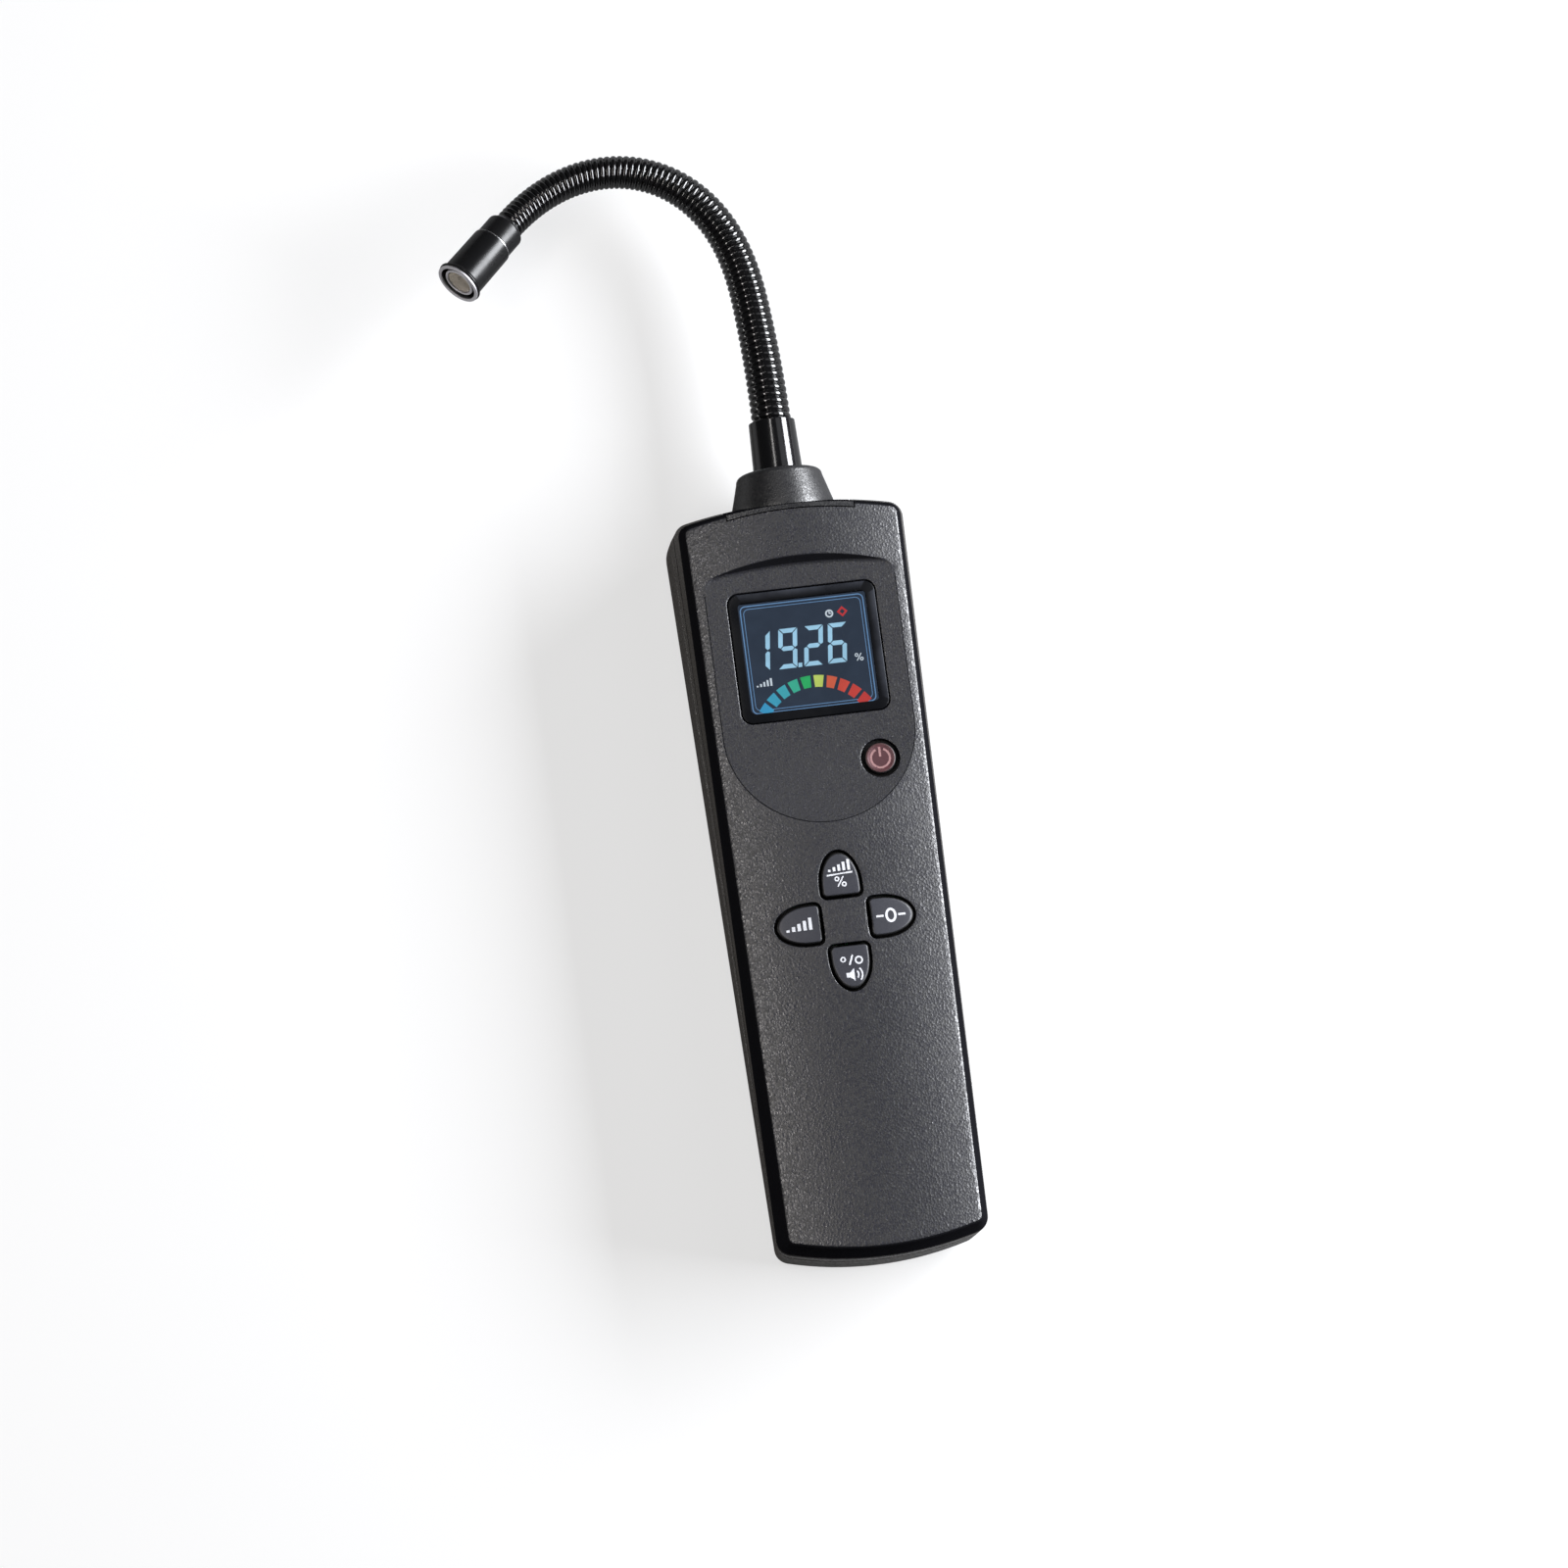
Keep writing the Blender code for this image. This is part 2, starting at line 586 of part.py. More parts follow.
def recess_wall_y(x):
    """Where the curved top wall meets the face, with its rounded ends."""
    across = min(abs(x), RECESS_HALF_WIDTH)
    y = RECESS_TOP_Y - RECESS_TOP_SAG * (across / RECESS_HALF_WIDTH) ** 2
    into_corner = across - (RECESS_HALF_WIDTH - RECESS_TOP_CORNER)
    if into_corner > 0:
        y -= RECESS_TOP_CORNER - math.sqrt(max(RECESS_TOP_CORNER**2 - into_corner**2, 0.0))
    return y


def recess_block(below=0.0):
    """The space over the recess floor: a profile along Y whose top wall follows the arc across X."""
    floor = RECESS_FLOOR_Z - below
    rise = (crown_z(0.0) - crown_z(RECESS_HALF_WIDTH)) / RECESS_HALF_WIDTH**2
    end_run = math.sqrt((CUT_TOP_Z - RECESS_FLOOR_Z) / rise)
    ramp_steps = 6
    ramp = []
    for i in range(1, ramp_steps + 1):
        run = end_run * i / ramp_steps
        ramp.append((RECESS_ROUND_Y - run, floor + rise * run**2))
    half = RECESS_HALF_WIDTH
    corner = RECESS_TOP_CORNER
    xs = [half + 3 * OVERCUT, half, half - 0.12 * corner, half - 0.35 * corner, half - corner]
    inner_steps = 3
    xs += [(half - corner) * (1 - i / inner_steps) for i in range(1, inner_steps)]
    stations = [-x for x in xs] + [0.0] + list(reversed(xs))
    rings = []
    for x in stations:
        lip_z = max(crown_z(min(abs(x), half)), RECESS_FLOOR_Z)
        wall_y = recess_wall_y(x) + below
        foot_y = wall_y - (lip_z - RECESS_FLOOR_Z) * RECESS_WALL_SLOPE
        top_y = wall_y + (CUT_TOP_Z - lip_z + below) * RECESS_WALL_SLOPE
        ring = [(x, top_y, CUT_TOP_Z), (x, foot_y, floor), (x, RECESS_ROUND_Y, floor)]
        ring += [(x, y, z) for y, z in ramp]
        ring.append((x, RECESS_ROUND_Y - end_run, CUT_TOP_Z + OVERCUT))
        rings.append(ring)
    return loft(rings)


def face_z(x, y):
    """Height of the outer face, in or out of the recess, below its top wall."""
    if abs(x) < RECESS_HALF_WIDTH and y < RECESS_TOP_Y:
        rise = (crown_z(0.0) - crown_z(RECESS_HALF_WIDTH)) / RECESS_HALF_WIDTH**2
        ramp = max(RECESS_ROUND_Y - y, 0.0)
        return min(crown_z(x), RECESS_FLOOR_Z + rise * ramp**2)
    return crown_z(x)


# Keys

def bullet(width, length, arch, corner, grow=0.0, steps=6):
    """Key outline, centred on its own box: flat inner side at -Y, elliptical arch at +Y."""
    half_w = width / 2 + grow
    half_l = length / 2 + grow
    corner = max(corner + grow, EDGE_BREAK)
    arch_y = length / 2 - arch
    points = [(half_w * math.cos(a), arch_y + (arch + grow) * math.sin(a)) for a in
              [math.pi * i / (2 * steps) for i in range(2 * steps + 1)]]
    for quarter, sx in ((2, -1), (3, 1)):
        for i in range(4):
            angle = (quarter + i / 3) * math.pi / 2
            points.append((sx * (half_w - corner) + corner * math.cos(angle),
                           -half_l + corner + corner * math.sin(angle)))
    return points


KEYS = {"key_top": 0.0, "key_left": 90.0, "key_bottom": 180.0, "key_right": 270.0}


def key_centre(turn_degrees):
    turn = math.radians(turn_degrees)
    return Vector((-KEY_SPREAD * math.sin(turn), KEY_CROSS_Y + KEY_SPREAD * math.cos(turn)))


def key_outline(turn_degrees, grow=0.0):
    """Key outline in plan, turned so that its round end points out of the cross."""
    turn = math.radians(turn_degrees)
    centre = key_centre(turn_degrees)
    outline = bullet(KEY_HOLE_WIDTH, KEY_HOLE_LENGTH, KEY_HOLE_ARCH, KEY_HOLE_CORNER, grow)
    return [(centre.x + x * math.cos(turn) - y * math.sin(turn),
             centre.y + x * math.sin(turn) + y * math.cos(turn)) for x, y in outline]


def power_outline(radius, steps=ROUND_STEPS):
    return [(POWER_X + x, POWER_Y + y) for x, y, _ in circle(radius, steps)]


def cylinder_at(x, y, radius, z0, z1, steps=SMALL_ROUND_STEPS):
    return prism([(x + cx, y + cy) for cx, cy, _ in circle(radius, steps)], z0, z1)


HOUSING_SCREWS = {
    "housing_screw_top_left": (-SCREW_TOP_X, SCREW_TOP_Y),
    "housing_screw_top_right": (SCREW_TOP_X, SCREW_TOP_Y),
    "housing_screw_bottom_left": (-SCREW_BOTTOM_X, SCREW_BOTTOM_Y),
    "housing_screw_bottom_right": (SCREW_BOTTOM_X, SCREW_BOTTOM_Y),
}
STANDOFFS = {
    "board_screw_top_left": (-STANDOFF_X, STANDOFF_TOP_Y),
    "board_screw_top_right": (STANDOFF_X, STANDOFF_TOP_Y),
    "board_screw_bottom_left": (-STANDOFF_X, STANDOFF_BOTTOM_Y),
    "board_screw_bottom_right": (STANDOFF_X, STANDOFF_BOTTOM_Y),
}


# Covers

def front_form():
    """Outer form of the front cover: a drafted wall under the crowned face, edge rounded."""
    top = CUT_TOP_Z
    form = solid(loft([front_ring(PARTING_Z), front_ring(top)]))
    cut(form, crown_block(), "INTERSECT")

    def face_edge(edge):
        high = min(vert.co.z for vert in edge.verts) > FACE_EDGE_Z - OVERCUT
        return high and edge.calc_face_angle(0.0) > math.radians(40)

    return round_edges(form, face_edge, FACE_EDGE_ROUND)


def notch_block(grow):
    """Block of the neck mount's insert: its inner side runs parallel to the bowed end."""
    half = INSERT_HALF_WIDTH + grow
    bow_radius = (CROWN_HALF_WIDTH**2 + FACE_TOP_BOW**2) / (2 * FACE_TOP_BOW)
    bow_centre = HALF_LENGTH + FACE_TOP_BOW - bow_radius
    inner_radius = bow_radius - INSERT_STRIP - grow
    steps = 8
    xs = [-half + 2 * half * i / steps for i in range(steps + 1)]
    outline = [(x, bow_centre + math.sqrt(inner_radius**2 - x**2)) for x in xs]
    far = HALF_LENGTH + FAR_CUT
    outline += [(half, far), (-half, far)]
    return prism(outline, INSERT_BOTTOM_Z - grow, CUT_TOP_Z)


def make_front_cover():
    cover = front_form()
    cut(cover, recess_block())

    ledge = WALL - TONGUE_THICKNESS
    cavity = solid(loft([
        front_ring(PARTING_Z - OVERCUT, ledge),
        front_ring(PARTING_Z + TONGUE_HEIGHT, ledge),
        front_ring(PARTING_Z + TONGUE_HEIGHT, WALL),
        front_ring(CUT_TOP_Z, WALL),
    ]))
    cut(cavity, crown_block(WALL), "INTERSECT")
    cut(cavity, recess_block(WALL))
    cut(cover, cavity.data)
    bpy.data.objects.remove(cavity)

    for x, y in HOUSING_SCREWS.values():
        cut(cover, cylinder_at(x, y, BOSS_RADIUS, PARTING_Z + GAP, face_z(x, y) - WALL / 2), "UNION")
    for x, y in STANDOFFS.values():
        cut(cover, cylinder_at(x, y, STANDOFF_RADIUS, BOARD_TOP_Z + GAP, face_z(x, y) - WALL / 2), "UNION")

    for x, y in HOUSING_SCREWS.values():
        tip = SCREW_SEAT_Z + SCREW_LENGTH + 2 * GAP
        cut(cover, cylinder_at(x, y, SCREW_HOLE_RADIUS, PARTING_Z - OVERCUT, tip, SCREW_STEPS))
    for x, y in STANDOFFS.values():
        tip = BOARD_Z + BOARD_SCREW_LENGTH + GAP
        cut(cover, cylinder_at(x, y, BOARD_SCREW_RADIUS + SCREW_PLAY,
                               BOARD_TOP_Z - OVERCUT, tip, SCREW_STEPS))

    pocket_floor = RECESS_FLOOR_Z - LENS_BELOW_FLOOR - LENS_THICKNESS - GAP
    lens_pocket = rounded_rectangle(LENS_WIDTH, LENS_HEIGHT, LENS_CORNER, (0.0, DISPLAY_Y))
    cut(cover, prism(lens_pocket, pocket_floor, CUT_TOP_Z))
    opening = rounded_rectangle(LENS_WIDTH - 2 * LENS_LEDGE, LENS_HEIGHT - 2 * LENS_LEDGE,
                                max(LENS_CORNER - LENS_LEDGE, SMALLEST_ROUND), (0.0, DISPLAY_Y))
    cut(cover, prism(opening, BOARD_TOP_Z, CUT_TOP_Z))

    for turn in KEYS.values():
        cut(cover, prism(key_outline(turn), BOARD_TOP_Z, CUT_TOP_Z))
    cut(cover, prism(power_outline(POWER_HOLE_RADIUS), BOARD_TOP_Z, CUT_TOP_Z))
    cut(cover, notch_block(GAP))
    return finished(cover, "front_cover", "front_plastic")


def rear_form(top=REAR_RIM_Z):
    """Outer rings of the rear cover, from the flat back up to its rim."""
    rings = []
    round_steps = 4
    for i in range(round_steps + 1):
        angle = math.pi / 2 * i / round_steps
        inset = BACK_EDGE_ROUND * (1 - math.sin(angle))
        rings.append(rear_ring(BACK_EDGE_ROUND * (1 - math.cos(angle)), 1.0, inset))
    rings.append(rear_ring(REAR_WIDEST_Z, 1.0))
    low = GROOVE_Z - GROOVE_WIDTH / 2
    high = GROOVE_Z + GROOVE_WIDTH / 2
    rings.append(rear_ring(low, rear_share(low)))
    rings.append(rear_ring(low, rear_share(low), GROOVE_DEPTH))
    rings.append(rear_ring(high, rear_share(high), GROOVE_DEPTH))
    rings.append(rear_ring(high, rear_share(high)))
    rings.append(rear_ring(top, 0.0))
    return rings


def rear_shell():
    """Rear cover wall with its tongue, as one closed loft from the back round to the inner floor."""
    rings = rear_form()
    tongue_outer = WALL - TONGUE_THICKNESS + GAP
    tongue_top = REAR_RIM_Z + TONGUE_HEIGHT
    rings.append(rear_ring(REAR_RIM_Z, 0.0, tongue_outer))
    rings.append([(x, y, tongue_top) for x, y, _ in front_ring(tongue_top, tongue_outer)])
    rings.append([(x, y, tongue_top) for x, y, _ in front_ring(tongue_top, WALL)])
    rings.append(rear_ring(REAR_RIM_Z, 0.0, WALL))
    rings.append(rear_ring(REAR_WIDEST_Z, 1.0, WALL))
    inner_round = max(BACK_EDGE_ROUND - WALL, SMALLEST_ROUND)
    round_steps = 2
    for i in range(round_steps + 1):
        angle = math.pi / 2 * (1 - i / round_steps)
        inset = WALL + inner_round * (1 - math.sin(angle))
        rings.append(rear_ring(WALL + inner_round * (1 - math.cos(angle)), 1.0, inset))
    return loft(rings)


def door_section(grow, low):
    """The door's T-shaped section as a long solid from a low plane: skin, and wider runners over it."""
    step_z = DOOR_FLUSH_STEP + DOOR_SKIN - grow
    runner_top = DOOR_FLUSH_STEP + DOOR_SKIN + DOOR_TONGUE + grow
    skin_half = DOOR_HALF_WIDTH + grow
    runner_half = skin_half + DOOR_RUNNER
    section = [(skin_half, low), (skin_half, step_z), (runner_half, step_z), (runner_half, runner_top)]
    section += [(-x, z) for x, z in reversed(section)]
    far = -HALF_LENGTH - FAR_CUT
    return loft([[(x, far, z) for x, z in section], [(x, DOOR_TOP_Y + grow, z) for x, z in section]])


def make_rear_cover():
    cover = solid(rear_shell())
    tray_half = max(PACK_HALF_WIDTH, DOOR_HALF_WIDTH + DOOR_RUNNER + GAP) + COMPARTMENT_WALL
    tray_top = PACK_TOP_Z + COMPARTMENT_WALL
    tray_low_y = CELL_CENTRE_Y - PACK_HALF_LENGTH
    tray_high_y = CELL_CENTRE_Y + PACK_HALF_LENGTH
    cut(cover, box(-tray_half, tray_half, tray_low_y - COMPARTMENT_WALL,
                   max(tray_high_y, DOOR_TOP_Y + GAP) + COMPARTMENT_WALL, WALL / 2, tray_top), "UNION")
    post_radius = SCREW_HEAD_RADIUS + GAP + POST_WALL
    for x, y in HOUSING_SCREWS.values():
        cut(cover, cylinder_at(x, y, post_radius, WALL / 2, PARTING_Z - GAP), "UNION")
    for x, y in HOUSING_SCREWS.values():
        cut(cover, cylinder_at(x, y, SCREW_HEAD_RADIUS + GAP, -OVERCUT, SCREW_SEAT_Z))
        cut(cover, cylinder_at(x, y, SCREW_HOLE_RADIUS,
                               SCREW_SEAT_Z - OVERCUT, PARTING_Z + OVERCUT, SCREW_STEPS))

    runner_top = DOOR_FLUSH_STEP + DOOR_SKIN + DOOR_TONGUE
    cut(cover, box(-PACK_HALF_WIDTH, PACK_HALF_WIDTH, tray_low_y, tray_high_y, runner_top, PACK_TOP_Z))
    cut(cover, door_section(GAP, -OVERCUT))
    cut(cover, notch_block(GAP))
    return finished(cover, "rear_cover", "rear_plastic")


def make_battery_door():
    """Slice of the rear cover's own form, with runners at its sides and grip grooves."""
    door = solid(loft(rear_form()))
    cut(door, door_section(0.0, DOOR_FLUSH_STEP), "INTERSECT")
    for i in range(DOOR_GRIP_COUNT):
        y = DOOR_TOP_Y - DOOR_GRIP_INSET - DOOR_GRIP_PITCH * i
        cut(door, box(-DOOR_GRIP_LENGTH / 2, DOOR_GRIP_LENGTH / 2, y - DOOR_GRIP_WIDTH, y,
                      -OVERCUT, DOOR_FLUSH_STEP + DOOR_GRIP_DEPTH))
    return finished(door, "battery_door", "door_plastic")


# Pieces in the housing

def make_display():
    outline = rounded_rectangle(LENS_WIDTH - 2 * GAP, LENS_HEIGHT - 2 * GAP,
                                LENS_CORNER - GAP, (0.0, DISPLAY_Y))
    top = RECESS_FLOOR_Z - LENS_BELOW_FLOOR
    add_object("display_lens", prism(outline, top - LENS_THICKNESS, top), "lens")
    shrink = 2 * (LENS_LEDGE - PANEL_OVERLAP)
    panel = rounded_rectangle(LENS_WIDTH - shrink, LENS_HEIGHT - shrink, PANEL_CORNER, (0.0, DISPLAY_Y), 3)
    base = BOARD_TOP_Z + GAP
    add_object("display_panel", prism(panel, base, base + PANEL_THICKNESS), "panel")


def make_board():
    outline = [
        (BOARD_HALF_WIDTH, BOARD_WAIST_Y), (BOARD_HALF_WIDTH, BOARD_SHOULDER_Y),
        (BOARD_NARROW, BOARD_SHOULDER_Y), (BOARD_NARROW, BOARD_TOP_Y),
        (-BOARD_NARROW, BOARD_TOP_Y), (-BOARD_NARROW, BOARD_SHOULDER_Y),
        (-BOARD_HALF_WIDTH, BOARD_SHOULDER_Y), (-BOARD_HALF_WIDTH, BOARD_WAIST_Y),
        (-BOARD_NARROW, BOARD_WAIST_Y), (-BOARD_NARROW, BOARD_BOTTOM_Y),
        (BOARD_NARROW, BOARD_BOTTOM_Y), (BOARD_NARROW, BOARD_WAIST_Y),
    ]
    board = solid(prism(outline, BOARD_Z, BOARD_TOP_Z))
    for x, y in STANDOFFS.values():
        cut(board, cylinder_at(x, y, BOARD_SCREW_RADIUS + SCREW_PLAY,
                               BOARD_Z - OVERCUT, BOARD_TOP_Z + OVERCUT, SCREW_STEPS))
    finished(board, "main_board", "board")

    outline = [
        (MAT_HALF_WIDTH, MAT_WAIST_Y), (MAT_HALF_WIDTH, MAT_TOP_Y),
        (-MAT_HALF_WIDTH, MAT_TOP_Y), (-MAT_HALF_WIDTH, MAT_WAIST_Y),
        (-MAT_NARROW, MAT_WAIST_Y), (-MAT_NARROW, MAT_BOTTOM_Y),
        (MAT_NARROW, MAT_BOTTOM_Y), (MAT_NARROW, MAT_WAIST_Y),
    ]
    mat = solid(prism(outline, BOARD_TOP_Z + GAP, BOARD_TOP_Z + GAP + MAT_THICKNESS))
    clear = KEY_FLANGE - KEY_PLAY + GAP
    for turn in KEYS.values():
        cut(mat, prism(key_outline(turn, clear), BOARD_TOP_Z, CUT_TOP_Z))
    cut(mat, prism(power_outline(POWER_RADIUS + KEY_FLANGE + GAP), BOARD_TOP_Z, CUT_TOP_Z))
    finished(mat, "keypad_mat", "mat_rubber")

    profile = [(BUZZER_PORT_RADIUS, BUZZER_PORT_DEPTH), (BUZZER_PORT_RADIUS, 0.0),
               (BUZZER_RADIUS, 0.0), (BUZZER_RADIUS, BUZZER_HEIGHT)]
    buzzer = add_object("buzzer", turned(profile, SMALL_ROUND_STEPS), "cable_sheath")
    buzzer.location = (BUZZER_X, POWER_Y - BUZZER_DROP, BOARD_Z - GAP - BUZZER_HEIGHT)

    top = BOARD_Z - GAP
    plug = box(-CONNECTOR_WIDTH / 2, CONNECTOR_WIDTH / 2, CONNECTOR_Y - CONNECTOR_LENGTH / 2,
               CONNECTOR_Y + CONNECTOR_LENGTH / 2, top - CONNECTOR_HEIGHT, top)
    add_object("board_connector", plug, "connector_plastic")


def make_button(name, outline_at, play, centre, top_z, material_name, crowned):
    """A cap with a flange under the face, smaller than its hole by the play.

    Its origin is on its travel axis.
    """
    base = BOARD_TOP_Z + GAP + KEY_TRAVEL
    flange_top = base + KEY_FLANGE_THICKNESS
    cap_grow = -play
    flange_grow = cap_grow + KEY_FLANGE
    rings = [
        at_height(outline_at(flange_grow), base), at_height(outline_at(flange_grow), flange_top),
        at_height(outline_at(cap_grow), flange_top), at_height(outline_at(cap_grow), top_z),
    ]
    button = solid(loft(rings))
    if crowned:
        cut(button, crown_block(-KEY_PROUD, base - 2 * OVERCUT), "INTERSECT")

    def top_edge(edge):
        high = min(vert.co.z for vert in edge.verts) > flange_top + GAP
        return high and edge.calc_face_angle(0.0) > math.radians(50)

    round_edges(button, top_edge, KEY_EDGE_ROUND)
    origin = Vector((centre.x, centre.y, base))
    button.data.transform(Matrix.Translation(-origin))
    piece = finished(button, name, material_name)
    piece.location = origin
    return piece


def make_buttons():
    for name, turn in KEYS.items():
        make_button(name, lambda grow, t=turn: key_outline(t, grow), KEY_PLAY, key_centre(turn),
                    CUT_TOP_Z, "key_rubber", True)
    power_top = face_z(POWER_X, POWER_Y) + POWER_PROUD
    make_button("power_button", lambda grow: power_outline(POWER_HOLE_RADIUS + grow), POWER_PLAY,
                Vector((POWER_X, POWER_Y)), power_top, "power_rubber", False)


def cross_slot(obj):
    """Cut a cross recess into a head whose outer face is at the local origin."""
    long_half = CROSS_SLOT_LENGTH / 2
    short_half = CROSS_SLOT_WIDTH / 2
    for half_x, half_y in ((long_half, short_half), (short_half, long_half)):
        cut(obj, box(-half_x, half_x, -half_y, half_y, -OVERCUT, CROSS_SLOT_DEPTH))
    return obj


def make_screws():
    head_z = SCREW_SEAT_Z - GAP - SCREW_HEAD
    for name, (x, y) in HOUSING_SCREWS.items():
        profile = [
            (SCREW_HEAD_RADIUS - SCREW_HEAD_ROUND, 0.0), (SCREW_HEAD_RADIUS, SCREW_HEAD_ROUND),
            (SCREW_HEAD_RADIUS, SCREW_HEAD), (SCREW_RADIUS, SCREW_HEAD),
            (SCREW_RADIUS, SCREW_HEAD + SCREW_LENGTH - SCREW_RADIUS),
            (SCREW_TIP_RADIUS, SCREW_HEAD + SCREW_LENGTH),
        ]
        screw = finished(cross_slot(solid(turned(profile, SCREW_STEPS))), name, "steel")
        screw.location = (x, y, head_z)
    head_z = BOARD_Z - GAP - BOARD_SCREW_HEAD
    for name, (x, y) in STANDOFFS.items():
        profile = [
            (BOARD_SCREW_HEAD_RADIUS, 0.0), (BOARD_SCREW_HEAD_RADIUS, BOARD_SCREW_HEAD),
            (BOARD_SCREW_RADIUS, BOARD_SCREW_HEAD),
            (BOARD_SCREW_RADIUS, BOARD_SCREW_HEAD + BOARD_SCREW_LENGTH),
        ]
        screw = add_object(name, turned(profile, SCREW_STEPS), "steel")
        screw.location = (x, y, head_z)


def make_batteries():
    """Three cells side by side, the middle one reversed, with plates at both ends."""
    for i in range(CELL_COUNT):
        x = CELL_PITCH * (i - (CELL_COUNT - 1) / 2)
        sense = 1 if i % 2 == 0 else -1
        can_length = CELL_LENGTH - CELL_NUB_LENGTH
        profile = [
            (CELL_RADIUS - CELL_EDGE, 0.0), (CELL_RADIUS, CELL_EDGE), (CELL_RADIUS, can_length - CELL_EDGE),
            (CELL_RADIUS - CELL_EDGE, can_length), (CELL_NUB_RADIUS, can_length),
            (CELL_NUB_RADIUS, CELL_LENGTH),
        ]
        cell = add_object("battery_cell_" + str(i + 1), turned(profile, SMALL_ROUND_STEPS), "cell_wrap")
        cell.rotation_euler = (-sense * math.pi / 2, 0.0, 0.0)
        cell.location = (x, CELL_CENTRE_Y - sense * CELL_LENGTH / 2, CELL_Z)

    half = CELL_RADIUS - CONTACT_INSET
    first = -CELL_PITCH * (CELL_COUNT - 1) / 2
    plates = {
        "contact_plate_top_single": (1, (0,)), "contact_plate_top_double": (1, (1, 2)),
        "contact_plate_bottom_double": (-1, (0, 1)), "contact_plate_bottom_single": (-1, (2,)),
    }
    for name, (end, cells) in plates.items():
        back = CELL_CENTRE_Y + end * (PACK_HALF_LENGTH - GAP)
        front = back - end * CONTACT_THICKNESS
        x0 = first + CELL_PITCH * cells[0] - half
        x1 = first + CELL_PITCH * cells[-1] + half
        plate = solid(box(x0, x1, min(back, front), max(back, front), CELL_Z - half, CELL_Z + half))
        for index in cells:
            x = first + CELL_PITCH * index
            bump = turned([(CELL_RADIUS * CONTACT_BUMP_BASE, -CONTACT_THICKNESS / 2),
                           (CELL_RADIUS * CONTACT_BUMP_TIP, CONTACT_SPRING_LENGTH)], SCREW_STEPS)
            bump.transform(Matrix.Rotation(end * math.pi / 2, 4, "X"))
            bump.transform(Matrix.Translation((x, front, CELL_Z)))
            cut(plate, bump, "UNION")
        finished(plate, name, "bright_metal")


# Neck mount and ferrule

def along_neck_axis(mesh):
    """Turn a piece made round local Z so that its axis is the neck's axis, heights being Y."""
    mesh.transform(Matrix.Rotation(-math.pi / 2, 4, "X"))
    mesh.transform(Matrix.Translation((0.0, 0.0, NECK_Z)))
    return mesh


def make_neck_mount():
    """Insert cut from the housing's own form, its inner plate, and the collar with its bore."""
    mount = solid(loft([front_ring(REAR_RIM_Z - GAP), front_ring(CUT_TOP_Z)]))
    cut(mount, crown_block(), "INTERSECT")
    cut(mount, loft(rear_form()), "UNION")
    cut(mount, notch_block(0.0), "INTERSECT")

    plate_half = INSERT_HALF_WIDTH + INSERT_PLATE_OVERLAP
    plate_low = BACK_EDGE_ROUND + INSERT_PLATE
    plate_high = crown_z(plate_half) - INSERT_PLATE_DROP
    cut(mount, box(-plate_half, plate_half, INSERT_PLATE_Y - INSERT_PLATE, INSERT_PLATE_Y,
                   plate_low, plate_high), "UNION")
    core_half = INSERT_HALF_WIDTH - INSERT_PLATE / 2
    core_end = HALF_LENGTH + FACE_TOP_BOW - INSERT_STRIP / 2
    cut(mount, box(-core_half, core_half, INSERT_PLATE_Y - INSERT_PLATE / 2, core_end,
                   plate_low, plate_high - INSERT_PLATE / 2), "UNION")

    profile = [(COLLAR_BASE_RADIUS, HALF_LENGTH + FACE_TOP_BOW - INSERT_STRIP)]
    shoulder_y = COLLAR_TIP_Y - COLLAR_SHOULDER
    profile.append((COLLAR_BASE_RADIUS, HALF_LENGTH + FACE_TOP_BOW + PARTING_FLARE + REAR_END_TOP / 2))
    steps = 4
    for i in range(steps + 1):
        angle = math.pi / 2 * i / steps
        profile.append((COLLAR_TIP_RADIUS - COLLAR_SHOULDER * (1 - math.cos(angle)),
                        shoulder_y + COLLAR_SHOULDER * math.sin(angle)))
    cut(mount, along_neck_axis(turned(profile)), "UNION")
    bore = turned([(FERRULE_TAIL_RADIUS + GAP, INSERT_PLATE_Y - INSERT_PLATE - OVERCUT),
                   (FERRULE_TAIL_RADIUS + GAP, FERRULE_SEAT_Y),
                   (FERRULE_BASE_RADIUS + GAP, FERRULE_SEAT_Y),
                   (FERRULE_BASE_RADIUS + GAP, COLLAR_TIP_Y + OVERCUT)])
    cut(mount, along_neck_axis(bore))
    finished(mount, "neck_mount", "collar_plastic")


